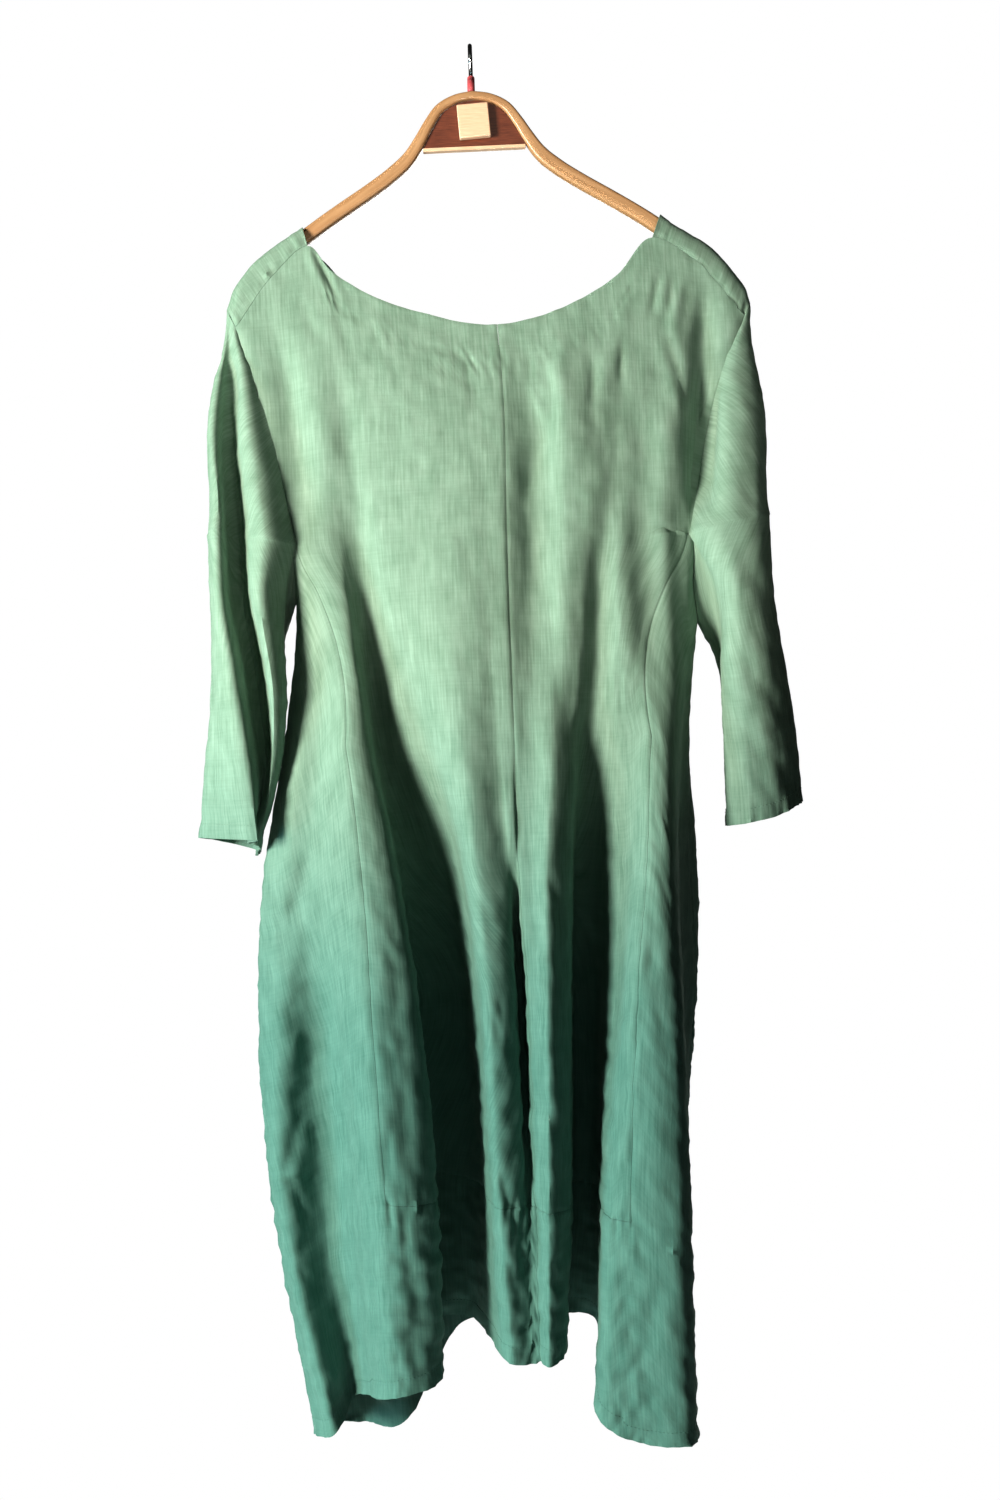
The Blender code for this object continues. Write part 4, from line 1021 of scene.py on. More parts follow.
def add_mesh(name: str, shape: Shape, material: Material, sharp_deg: float = 50.0) -> Object:
    """A mesh object from arrays.

    Args:
        name: the object's name.
        shape: its points in mm, faces and weave places.
        material: its one material.
        sharp_deg: edges that turn more than this stay crisp.

    Returns:
        The object, linked to the scene.
    """
    mesh = bpy.data.meshes.new(name)
    count, corners = shape.faces.shape
    mesh.vertices.add(len(shape.points))
    mesh.vertices.foreach_set("co", (shape.points * MM).astype(np.float32).ravel())
    mesh.loops.add(count * corners)
    mesh.loops.foreach_set("vertex_index", shape.faces.astype(np.int32).ravel())
    mesh.polygons.add(count)
    mesh.polygons.foreach_set("loop_start", np.arange(0, count * corners, corners, dtype=np.int32))
    mesh.update(calc_edges=True)
    layer = mesh.uv_layers.new(name="weave")
    layer.data.foreach_set("uv", (shape.weave * MM).astype(np.float32).ravel())
    mesh.shade_smooth()
    mesh.set_sharp_from_angle(angle=math.radians(sharp_deg))
    mesh.materials.append(material)
    mesh.validate()
    LOG.info("%s: %d points, %d faces", name, len(shape.points), count)
    return placed(name, mesh)


def stands_for(piece: Object, node: str) -> None:
    """Says that a piece rides the part's one body and which node it replaces.

    Args:
        piece: the finished object.
        node: the solid's node.
    """
    LOG.info("%s stands for %s", piece.name, node)
    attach(piece, "root")
    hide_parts(node)


@dataclass
class Cloth:
    """All cloth of the dress as one surface: points that patches share are one point."""

    patches: list[Patch]
    seam_pull: float = 0.12
    thinnest_mitre: float = 0.6

    def __post_init__(self) -> None:
        """Welds the patches, lists each panel's faces and moves the points out by their relief."""
        places = np.concatenate([patch.points.reshape(-1, 3) for patch in self.patches])
        relief = np.concatenate([patch.relief.ravel() for patch in self.patches])
        half = np.concatenate([patch.half.ravel() for patch in self.patches])
        self.weave = np.concatenate([patch.weave.reshape(-1, 2) for patch in self.patches])
        _, self.first, weld = np.unique(np.round(places, 3), axis=0, return_index=True, return_inverse=True)
        self.weld = weld.ravel()
        self.half = half[self.first]
        self.starts = np.cumsum([0] + [patch.relief.size for patch in self.patches])
        self.corners: dict[str, np.ndarray] = {}
        for patch, start in zip(self.patches, self.starts):
            number = start + np.arange(patch.relief.size).reshape(patch.relief.shape)
            quads = np.stack([number[:-1, :-1], number[1:, :-1], number[1:, 1:], number[:-1, 1:]], axis=2)
            quads = quads[..., ::-1] if patch.turned else quads
            for name, cells in patch.cells.items():
                kept = self.corners.get(name, np.empty((0, 4), int))
                self.corners[name] = np.concatenate([kept, quads[cells]])
        base = places[self.first]
        outward, _ = self.normals(base)
        self.points = base + outward * relief[self.first][:, None]
        self.outward, self.mitre = self.normals(self.points)

    def normals(self, points: np.ndarray) -> tuple[np.ndarray, np.ndarray]:
        """Outward direction at each point, and how much longer a wall's edge is there.

        Each face counts by its corner's angle. The mitre is 1 over the mean agreement of the faces'
        normals with the point's own, so a wall keeps its thickness round a crease.

        Args:
            points: (N, 3) places of the welded points.

        Returns:
            (N, 3) directions and (N,) mitres.
        """
        faces = self.weld[np.concatenate(list(self.corners.values()))]
        corner = [points[faces[:, i]] for i in range(4)]
        flat = unit(np.cross(corner[2] - corner[0], corner[3] - corner[1]))
        angles = []
        for i in range(4):
            ahead, behind = corner[(i + 1) % 4] - corner[i], corner[(i + 3) % 4] - corner[i]
            lengths = np.maximum(np.linalg.norm(ahead, axis=1) * np.linalg.norm(behind, axis=1), TINY)
            angles.append(np.arccos(np.clip((ahead * behind).sum(axis=1) / lengths, -1.0, 1.0)))
        at, weight = faces.T.ravel(), np.concatenate(angles)
        spread = np.tile(flat, (4, 1))
        sums = [np.bincount(at, weight * spread[:, i], len(points)) for i in range(3)]
        outward = unit(np.stack(sums, axis=1))
        lean = np.bincount(at, weight * (spread * outward[at]).sum(axis=1), len(points))
        share = lean / np.maximum(np.bincount(at, weight, len(points)), TINY)
        return outward, 1 / np.maximum(share, self.thinnest_mitre)

    def edge_keys(self, faces: np.ndarray) -> np.ndarray:
        """One number for each directed edge of the faces: start times the point count plus end."""
        return (faces * len(self.points) + np.roll(faces, -1, axis=1)).ravel()

    def wall(self, name: str) -> Shape:
        """One panel as a closed thin wall, drawn back a little from its seams.

        Args:
            name: the panel's name.

        Returns:
            Outer layer, inner layer and rim as one shape.
        """
        count = len(self.points)
        corners = self.corners[name]
        faces = self.weld[corners]
        keys = self.edge_keys(faces)
        start, end = keys // count, keys % count
        is_border = ~np.isin(end * count + start, keys)
        start, end = start[is_border], end[is_border]
        others = np.concatenate([self.weld[found] for panel, found in self.corners.items() if panel != name])
        is_seam = np.isin(end * count + start, self.edge_keys(others))
        pull = np.zeros((count, 3))
        seam_way = self.points[end[is_seam]] - self.points[start[is_seam]]
        for tip in (start[is_seam], end[is_seam]):
            np.add.at(pull, tip, unit(np.cross(self.outward[tip], seam_way)))
        length = np.linalg.norm(pull, axis=1)
        pull[length > 0] /= length[length > 0][:, None]
        used, index = np.unique(faces, return_inverse=True)
        faces = index.reshape(faces.shape)
        start, end = np.searchsorted(used, start), np.searchsorted(used, end)
        places = self.points[used] + pull[used] * self.seam_pull
        reach = self.outward[used] * (self.mitre[used] * self.half[used])[:, None]
        inner = len(used)
        rim = np.stack([end, start, start + inner, end + inner], axis=1)
        rim_weave = self.weave[self.first[used]][rim % inner]
        return Shape(
            np.concatenate([places + reach, places - reach]),
            np.concatenate([faces, faces[:, ::-1] + inner, rim]),
            np.concatenate([self.weave[corners], self.weave[corners[:, ::-1]], rim_weave]).reshape(-1, 2),
        )


def loft(rings: np.ndarray, capped: bool = True) -> Shape:
    """A body through rings of equal count, closed at both ends by a fan of slim quads.

    Args:
        rings: (rings, around, 3).
        capped: adds the ends.

    Returns:
        The shape, facing outwards, with weave places along and round it.
    """
    if capped:
        middles = np.repeat(rings[[0, -1]].mean(axis=1, keepdims=True), rings.shape[1], axis=1)
        rings = np.concatenate([middles[:1], rings, middles[1:]])
    count, around = rings.shape[:2]
    number = np.arange(count * around).reshape(count, around)
    after = np.roll(number, -1, axis=1)
    faces = np.stack([number[:-1], after[:-1], after[1:], number[1:]], axis=2).reshape(-1, 4)
    points = rings.reshape(-1, 3)
    a, b, c, d = points[faces].transpose(1, 0, 2)
    volume = (a * np.cross(b, c) + a * np.cross(c, d)).sum()
    faces = faces if volume > 0 else faces[:, ::-1]
    along = run_of(rings.mean(axis=1))
    weave = np.stack([faces % around * 1.0, along[faces // around]], axis=2).reshape(-1, 2)
    return Shape(points, faces, weave)


def welded(shape: Shape) -> Shape:
    """The shape with points at one place made one, and its flat quads kept."""
    _, first, weld = np.unique(np.round(shape.points, 4), axis=0, return_index=True, return_inverse=True)
    return Shape(shape.points[first], weld.ravel()[shape.faces], shape.weave)


def joined(shapes: list[Shape]) -> Shape:
    """Several shapes as one.

    Args:
        shapes: the shapes, in order.

    Returns:
        One shape, whose faces count on from shape to shape.
    """
    offsets = np.cumsum([0] + [len(shape.points) for shape in shapes[:-1]])
    return Shape(
        np.concatenate([shape.points for shape in shapes]),
        np.concatenate([shape.faces + offset for shape, offset in zip(shapes, offsets)]),
        np.concatenate([shape.weave for shape in shapes]),
    )


class Shader:
    """A small helper that adds nodes to a material and joins them."""

    def __init__(self, name: str) -> None:
        """Starts a material of its own with a Principled shader.

        Args:
            name: the material's name.
        """
        self.material = bpy.data.materials.new(name)
        self.material.use_nodes = True
        self.tree = self.material.node_tree
        self.surface = self.tree.nodes["Principled BSDF"]

    def node(self, kind: str, inputs: dict | None = None, **settings: object) -> bpy.types.Node:
        """A node with its settings, and with values or other nodes' sockets as inputs.

        Args:
            kind: the node's type.
            inputs: socket name or number to a value or a socket.
            settings: the node's own properties.

        Returns:
            The node.
        """
        made = self.tree.nodes.new(kind)
        for key, value in settings.items():
            setattr(made, key, value)
        for key, value in (inputs or {}).items():
            self.join(made.inputs[key], value)
        return made

    def join(self, socket: Socket, value: object) -> None:
        """Links a socket to another one, or sets its value.

        Args:
            socket: the input.
            value: another node's socket, or a plain value.
        """
        if isinstance(value, Socket):
            self.tree.links.new(value, socket)
        else:
            socket.default_value = value

    def set(self, **values: object) -> None:
        """Sets or links the surface's sockets, with underscores for spaces."""
        for key, value in values.items():
            self.join(self.surface.inputs[key.replace("_", " ")], value)

    def weave(self) -> Socket:
        """The piece's own UV map, which follows its surface."""
        return self.node("ShaderNodeUVMap", uv_map="weave").outputs[0]

    def place(self) -> Socket:
        """Places in the object's own frame, in metres."""
        return self.node("ShaderNodeTexCoord").outputs["Object"]

    def scaled(self, value: Socket, factor: float, more: object = 0.0) -> Socket:
        """value times factor, plus more."""
        inputs = {0: value, 1: factor, 2: more}
        return self.node("ShaderNodeMath", inputs, operation="MULTIPLY_ADD").outputs[0]

    def bump(self, height: Socket, strength: float, distance: float, **under: object) -> Socket:
        """A normal bent by a height.

        Args:
            height: the height, from 0 to 1.
            strength: the share of it that shows.
            distance: metres for a height of 1.
            under: a Normal that this one goes over.

        Returns:
            The normal.
        """
        inputs = {"Height": height, "Strength": strength, "Distance": distance, **under}
        return self.node("ShaderNodeBump", inputs).outputs[0]

    def ramp(self, factor: Socket, places: tuple, colours: tuple) -> Socket:
        """A blend of two colours between two values of the factor.

        Args:
            factor: what it reads.
            places: the factor's values at the colours.
            colours: two colours.

        Returns:
            The colour.
        """
        node = self.node("ShaderNodeValToRGB", {"Fac": factor})
        for element, place, colour in zip(node.color_ramp.elements, places, colours):
            element.position, element.color = place, (*colour, 1.0)
        return node.outputs["Color"]

    def noise(self, vector: Socket, stretch: tuple, scale: float, detail: float) -> Socket:
        """Noise over stretched places.

        Args:
            vector: the places.
            stretch: a factor along each axis.
            scale: grains in a metre of the stretched places.
            detail: how many finer layers it has.

        Returns:
            The noise, from 0 to 1.
        """
        at = self.node("ShaderNodeMapping", {"Vector": vector, "Scale": stretch}).outputs[0]
        inputs = {"Vector": at, "Scale": scale, "Detail": detail}
        return self.node("ShaderNodeTexNoise", inputs).outputs["Fac"]


@dataclass(frozen=True)
class LinenFinish:
    """Washed plain-weave linen: slubs, a mottle, a soft crumple, and painted shade that makes the colour
    darker and tealer lower down.
    """

    deep: tuple = (0.132, 0.215, 0.148)
    light: tuple = (0.270, 0.375, 0.288)
    # Painted shade: the colours lower down are darker and tealer. They stand in for the dimmer, cooler light
    # on the skirt and fade in between the two heights below.
    painted_shade_deep: tuple = (0.043, 0.125, 0.098)
    painted_shade_light: tuple = (0.098, 0.214, 0.175)
    tone_places: tuple = (0.32, 0.69)
    painted_shade_from: float = -0.48
    painted_shade_full: float = -0.88
    slub_across: float = 620.0
    slub_run: float = 26.0
    slub_scale: float = 1.0
    detail: float = 4.0
    mottle_detail: float = 5.0
    slub_share: float = 0.50
    level_share: float = 0.30
    mottle_scale: float = 60.0
    mottle_stretch: tuple = (1.0, 0.6, 1.0)
    mottle_share: float = 0.36
    crumple_scale: float = 105.0
    crumple_stretch: tuple = (1.0, 0.55, 1.0)
    crumple_bump: tuple = (0.30, 0.0012)
    weave_bump: tuple = (0.30, 0.0004)
    roughness: float = 0.86
    gloss: float = 0.25
    sheen: float = 0.12
    sheen_roughness: float = 0.45
    sheen_tint: tuple = (0.75, 1.0, 0.85, 1.0)

    def material(self) -> Material:
        """The linen's material, on the weave's own places.

        Returns:
            The material.
        """
        shader = Shader("linen")
        weave = shader.weave()
        fine, long = self.slub_across, self.slub_run
        upright = shader.noise(weave, (fine, long, 1.0), self.slub_scale, self.detail)
        level = shader.noise(weave, (long, fine, 1.0), self.slub_scale, self.detail)
        mottle = shader.noise(weave, self.mottle_stretch, self.mottle_scale, self.mottle_detail)
        crumple = shader.noise(weave, self.crumple_stretch, self.crumple_scale, self.detail)
        slubs = shader.scaled(level, self.level_share, upright)
        tone = shader.scaled(mottle, self.mottle_share, shader.scaled(slubs, self.slub_share))
        upper = shader.ramp(tone, self.tone_places, (self.deep, self.light))
        # Painted shade: the same tone in the darker, tealer colours of the lower skirt, blended in by height.
        lower = shader.ramp(tone, self.tone_places, (self.painted_shade_deep, self.painted_shade_light))
        height = shader.node("ShaderNodeSeparateXYZ", {0: shader.place()}).outputs["Z"]
        turn = shader.node(
            "ShaderNodeMapRange",
            {"Value": height, "From Min": self.painted_shade_from, "From Max": self.painted_shade_full},
            interpolation_type="SMOOTHSTEP",
        )
        tone_with_painted_shade = shader.node("ShaderNodeMix", {"Factor": turn.outputs[0], 6: upper, 7: lower}, data_type="RGBA")
        soft = shader.bump(crumple, *self.crumple_bump)
        relief = shader.bump(slubs, *self.weave_bump, Normal=soft)
        shader.set(Base_Color=tone_with_painted_shade.outputs[2], Roughness=self.roughness, Normal=relief)
        shader.set(Specular_IOR_Level=self.gloss)
        shader.set(Sheen_Weight=self.sheen, Sheen_Roughness=self.sheen_roughness, Sheen_Tint=self.sheen_tint)
        return shader.material


@dataclass(frozen=True)
class WoodFinish:
    """Varnished wood with fine grain along X or, on a bent piece, along the piece itself."""

    name: str
    dark: tuple
    light: tuple
    roughness: float = 0.38
    grain: tuple = (14.0, 160.0, 160.0)
    grain_scale: float = 6.0
    grain_detail: float = 4.0
    grain_places: tuple = (0.3, 0.7)
    grain_bump: tuple = (0.04, 0.0004)
    varnish: float = 0.15
    is_bent: bool = False

    def material(self) -> Material:
        """The wood's material.

        Returns:
            The material.
        """
        shader = Shader(self.name)
        places = shader.weave() if self.is_bent else shader.place()
        grain = shader.noise(places, self.grain, self.grain_scale, self.grain_detail)
        colour = shader.ramp(grain, self.grain_places, (self.dark, self.light))
        relief = shader.bump(grain, *self.grain_bump)
        shader.set(Base_Color=colour, Roughness=self.roughness, Normal=relief, Coat_Weight=self.varnish)
        return shader.material


@dataclass(frozen=True)
class PlainFinish:
    """Metal or plastic of one colour, with a faint unevenness in its gloss."""

    name: str
    colour: tuple
    roughness: float
    metallic: float = 0.0
    wear_scale: float = 300.0
    wear_detail: float = 3.0
    wear_share: float = 0.2

    def material(self) -> Material:
        """The finish's material.

        Returns:
            The material.
        """
        shader = Shader(self.name)
        wear = shader.noise(shader.place(), (1.0, 1.0, 1.0), self.wear_scale, self.wear_detail)
        gloss = shader.scaled(wear, self.wear_share, self.roughness - self.wear_share / 2)
        shader.set(Base_Color=(*self.colour, 1.0), Roughness=gloss, Metallic=self.metallic)
        return shader.material


class Cut(NamedTuple):
    """The flat cut of a cloth piece, in metres and square metres, and what it hangs from."""

    node: str
    width: float
    length: float
    area: float
    rests_on: tuple


CUTS = (
    Cut("front_left", 0.36, 0.86, 0.200, ("shoulder_left",)),
    Cut("front_right", 0.32, 0.86, 0.163, ("shoulder_right",)),
    Cut("side_left", 0.46, 0.80, 0.141, ("front_left",)),
    Cut("side_right", 0.42, 0.80, 0.127, ("front_right",)),
    Cut("back", 0.68, 1.06, 0.450, ("shoulder_left", "shoulder_right")),
    Cut("shoulder_left", 0.12, 0.075, 0.0054, ("hanger_bow",)),
    Cut("shoulder_right", 0.12, 0.085, 0.0057, ("hanger_bow",)),
    Cut("sleeve_left", 0.40, 0.50, 0.099, ("shoulder_left",)),
    Cut("sleeve_right", 0.36, 0.48, 0.086, ("shoulder_right",)),
)


@dataclass
class Stitching:
    """Rows of small stitches, each a slim six-sided lozenge that lies on the cloth.

    At each ring of a stitch, stand is its place in half lengths, wide its width in half
    thicknesses, and lift its rise from the cloth in mm. The line's way is read over reach mm
    either way.
    """

    pitch: float = 3.3
    length: float = 2.3
    thick: float = 0.42
    sides: int = 6
    stand: tuple = (-1.0, -0.55, 0.55, 1.0)
    wide: tuple = (0.2, 1.0, 1.0, 0.2)
    lift: tuple = (-0.2, 0.15, 0.15, -0.2)
    off_cloth: float = 0.05
    reach: float = 0.5

    def along(self, line: np.ndarray, outward: np.ndarray) -> Shape:
        """Stitches down a line of points, which is read at even steps of its length.

        Args:
            line: (N, 3) points on the cloth's outside.
            outward: (N, 3) the cloth's outward directions there.

        Returns:
            One shape of all stitches.
        """
        run = run_of(line)
        at = np.arange(self.pitch / 2, run[-1], self.pitch)

        def read(values: np.ndarray, places: np.ndarray) -> np.ndarray:
            """The line's values at places of its length."""
            return np.stack([np.interp(places, run, values[:, i]) for i in range(3)], axis=1)

        place = read(line, at)
        ahead = unit(read(line, at + self.reach) - read(line, at - self.reach))
        up = unit(read(outward, at))
        place, ahead, up, aside = (way[:, None, None] for way in (place, ahead, up, np.cross(up, ahead)))
        turn = (np.arange(self.sides) * 2 * math.pi / self.sides)[:, None]
        stand, wide, lift = (np.array(row)[:, None, None] for row in (self.stand, self.wide, self.lift))
        stand, wide = stand * self.length / 2, wide * self.thick / 2
        rings = place + ahead * stand + up * (lift + wide * np.sin(turn)) + aside * wide * np.cos(turn)
        one = loft(rings[0])
        ends = np.repeat(rings.mean(axis=2, keepdims=True), self.sides, axis=2)
        points = np.concatenate([ends[:, :1], rings, ends[:, -1:]], axis=1).reshape(-1, 3)
        number = (np.arange(len(rings)) * len(one.points))[:, None, None]
        return Shape(points, (one.faces + number).reshape(-1, 4), np.tile(one.weave, (len(rings), 1)))

    def hems(self, cloth: Cloth) -> Shape:
        """A row of stitches above the hem and above each cuff.

        Args:
            cloth: the finished cloth.

        Returns:
            One shape of all rows.
        """
        rows = []
        for patch, start in zip(cloth.patches, cloth.starts):
            if patch.stitch_row is not None:
                columns = patch.relief.shape[1]
                at = cloth.weld[start + patch.stitch_row * columns + np.arange(columns)]
                outward = cloth.outward[at]
                off = (cloth.half[at] + self.off_cloth)[:, None]
                rows.append(self.along(cloth.points[at] + outward * off, outward))
        return joined(rows)


class ArmPlan(NamedTuple):
    """What one shoulder and sleeve are made from.

    front and back name the fold lines that bound the strip, from left to right of the picture.
    """

    side: Side
    sleeve: tuple
    inner: SleeveLine
    top: tuple
    front: tuple
    back: tuple


ARMS = (
    ArmPlan(
        Side.LEFT, LEFT_SLEEVE, LEFT_INNER, SHOULDER_TOP_LEFT,
        ("left_princess", "undercut_left"), ("back_left", "back_valley_1"),
    ),
    ArmPlan(
        Side.RIGHT, RIGHT_SLEEVE, RIGHT_INNER, SHOULDER_TOP_RIGHT,
        ("right_valley_right", "right_princess"), ("back_swell", "back_right"),
    ),
)


@dataclass
class Dress:
    """The whole dress: body, shoulder strips and sleeves, with their stitched hems."""

    linen: Material
    stitching: Stitching = field(default_factory=Stitching)

    def arm(self, body: BodyForm, plan: ArmPlan) -> list[Patch]:
        """A shoulder strip and its sleeve, joined to the body's own edges.

        Args:
            body: the body, whose edges they share.
            plan: what they are made from.

        Returns:
            The patches of the strip, the sleeve's cap and its tube.
        """
        grid, under = body.grid, body.under
        front = [body.column[name] for name in plan.front]
        back = [body.column[name] for name in plan.back]
        yoke = YokeForm(plan.side, plan.top)
        strip = yoke.points(grid[0, front[0] : front[1] + 1], grid[0, back[1] : back[0] + 1][::-1])
        if plan.side is Side.LEFT:
            tip, front_edge, back_edge = 0, front[0], back[0]
            underarm = np.concatenate([grid[under, back_edge:], grid[under, 1 : front_edge + 1]])[::-1]
        else:
            tip, front_edge, back_edge = -1, front[1], back[1]
            underarm = grid[under, front_edge : back_edge + 1]
        sleeve = SleeveForm(plan.side, plan.sleeve, plan.inner)
        edges = grid[: under + 1, front_edge], grid[: under + 1, back_edge]
        return [yoke.patch(strip), *sleeve.patches(strip[:, tip], *edges, underarm)]

    def build(self) -> None:
        """Makes every cloth piece and its stitches, and says what each stands for."""
        body = BodyForm()
        cloth = Cloth([body.patch(), *self.arm(body, ARMS[0]), *self.arm(body, ARMS[1])])
        for cut in CUTS:
            piece = add_mesh(cut.node + "_cloth", cloth.wall(cut.node), self.linen)
            stands_for(piece, cut.node)
        sewn = add_mesh("stitches", self.stitching.hems(cloth), self.linen)
        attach(sewn, "root")


@dataclass
class Hanger:
    """A bent wooden bow with a dark board under its arch, a pale strip below and a bare block on it.

    batten is the strip's height and depth, block the block's width, height and depth, and each round
    the width of a plate's rounded edges. near_tip is where the bow has more sections, from its tip.
    """

    wood: Material
    dark_wood: Material
    pale_wood: Material
    depth: float = 11.0
    height_top: float = 7.0
    height_arm: float = 12.0
    taper_run: float = 90.0
    taper_power: float = 1.5
    end_run: float = 12.0
    end_share: float = 0.45
    samples: int = 90
    near_tip: tuple = (0.15, 0.5, 1.0, 1.7)
    around: int = 32
    panel_reach: float = 60.0
    panel_depth: float = 4.0
    panel_bottom: float = -84.0
    panel_round: float = 0.3
    gap: float = 0.3
    batten: tuple = (3.0, 6.0)
    batten_round: float = 0.5
    block: tuple = (27.0, 29.0, 6.0)
    block_round: float = 0.9
    block_place: tuple = (0.5, -64.0)
    block_turn: float = math.radians(3.0)
    arch_step: int = 3
    round_steps: int = 3
    crisp: float = math.radians(40.0)

    def turned(self, places: np.ndarray, angle: float) -> np.ndarray:
        """Places in the plane of x and z turned about its origin.

        Args:
            places: (..., 2) x and z.
            angle: in radians, from x towards z.

        Returns:
            (..., 2) x and z.
        """
        cos, sin = math.cos(angle), math.sin(angle)
        x, z = places[..., 0], places[..., 1]
        return np.stack([x * cos - z * sin, x * sin + z * cos], axis=-1)

    def tilted(self, points: np.ndarray) -> np.ndarray:
        """Points turned about the hook, because one arm hangs a little higher.

        Args:
            points: (..., 3) of a level hanger.

        Returns:
            (..., 3) of the hanger as it hangs.
        """
        lean = points.copy()
        lean[..., ::2] = self.turned(points[..., ::2], HANGER_TILT)
        return lean

    def stations(self) -> tuple[np.ndarray, np.ndarray, np.ndarray]:
        """Sections along the bow's top edge, from the left tip to the right.

        The height grows as (run / taper)^p from the middle and, near the tip with s from 1 to 0,
        shrinks by end + (1 - end) sqrt(s (2 - s)).

        Returns:
            (N, 2) points x and z, (N, 2) the way down the face and (N,) heights.
        """
        right = np.array(HANGER_EDGE, float)
        knots = run_of(right)
        at = np.unique([*np.linspace(0.0, knots[-1], self.samples), *(knots[-1] - np.array(self.near_tip))])
        half = curve(knots, right, at)
        edge = np.concatenate([half[:0:-1] * (-1, 1), half])
        along = unit(np.gradient(edge, axis=0))
        run = np.abs(np.concatenate([-at[:0:-1], at]))
        taper = np.clip(run / self.taper_run, 0.0, 1.0) ** self.taper_power
        height = self.height_top + (self.height_arm - self.height_top) * taper
        end = np.clip((knots[-1] - run) / self.end_run, 0.0, 1.0)
        height *= self.end_share + (1 - self.end_share) * np.sqrt(end * (2 - end))
        return edge, np.column_stack([along[:, 1], -along[:, 0]]), height

    def bow(self) -> Shape:
        """The bow: superellipses |y/a|^4 + |z/b|^4 = 1 along its edge.

        Returns:
            The shape, as it hangs.
        """
        edge, down, height = self.stations()
        turn = np.linspace(0.0, 2 * math.pi, self.around, endpoint=False)
        wide = np.sign(np.cos(turn)) * np.abs(np.cos(turn)) ** 0.5 / 2
        deep = (np.sign(np.sin(turn)) * np.abs(np.sin(turn)) ** 0.5 + 1) / 2
        face = edge[:, None] + down[:, None] * (height[:, None] * deep)[..., None]
        across = np.broadcast_to(self.depth * wide, face.shape[:2])
        return loft(self.tilted(np.stack([face[..., 0], across, face[..., 1]], axis=2)))

    def plate(
        self,
        name: str,
        outline: np.ndarray,
        middle_y: float,
        depth: float,
        material: Material,
        rounding: float,
    ) -> Object:
        """A plate with rounded edges.

        Args:
            name: the object's name.
            outline: (N, 2) x and z, clockwise as the front view shows them.
            middle_y: the depth of its middle.
            depth: how thick it is.
            material: its material.
            rounding: the width of its edges' rounding.

        Returns:
            The object.
        """
        count = len(outline)
        front, back = (np.insert(outline, 1, middle_y + way * depth / 2, axis=1) for way in (-1, 1))
        points = self.tilted(np.concatenate([front, back])) * MM
        first = np.arange(count)
        after = np.roll(first, -1)
        sides = np.column_stack([first, after, after + count, first + count])
        mesh = bpy.data.meshes.new(name)
        faces = [first[::-1].tolist(), (first + count).tolist(), *sides.tolist()]
        mesh.from_pydata(points.tolist(), [], faces)
        mesh.materials.append(material)
        mesh.shade_smooth()
        mesh.set_sharp_from_angle(angle=self.crisp)
        made = placed(name, mesh)
        edge = made.modifiers.new("round", "BEVEL")
        edge.width, edge.segments = rounding * MM, self.round_steps
        edge.limit_method, edge.angle_limit = "ANGLE", self.crisp
        return made

    def build(self) -> None:
        """Makes the four pieces."""
        stands_for(add_mesh("bow", welded(self.bow()), self.wood), "hanger_bow")
        edge, down, height = self.stations()
        lower = edge + down * (height + self.gap)[:, None]
        arch = lower[np.abs(lower[:, 0]) < self.panel_reach][:: self.arch_step]
        arch = arch[arch[:, 1] > self.panel_bottom]
        right = lower[len(lower) // 2 :]
        reach = float(np.interp(-self.panel_bottom, -right[:, 1], right[:, 0]))
        board = np.array([(-reach, self.panel_bottom), *arch, (reach, self.panel_bottom)])
        piece = self.plate("board", board, 0.0, self.panel_depth, self.dark_wood, self.panel_round)
        stands_for(piece, "hanger_panel")
        square = np.array([(-0.5, -0.5), (-0.5, 0.5), (0.5, 0.5), (0.5, -0.5)])
        tall, deep = self.batten
        strip = square * (2 * reach, tall) + (0.0, self.panel_bottom - self.gap - tall / 2)
        piece = self.plate("strip", strip, 0.0, deep, self.pale_wood, self.batten_round)
        stands_for(piece, "hanger_batten")
        width, tall, deep = self.block
        face = self.turned(square * (width, tall), self.block_turn) + self.block_place
        middle_y = -self.panel_depth / 2 - self.gap - deep / 2
        piece = self.plate("block", face, middle_y, deep, self.pale_wood, self.block_round)
        stands_for(piece, "hanger_block")


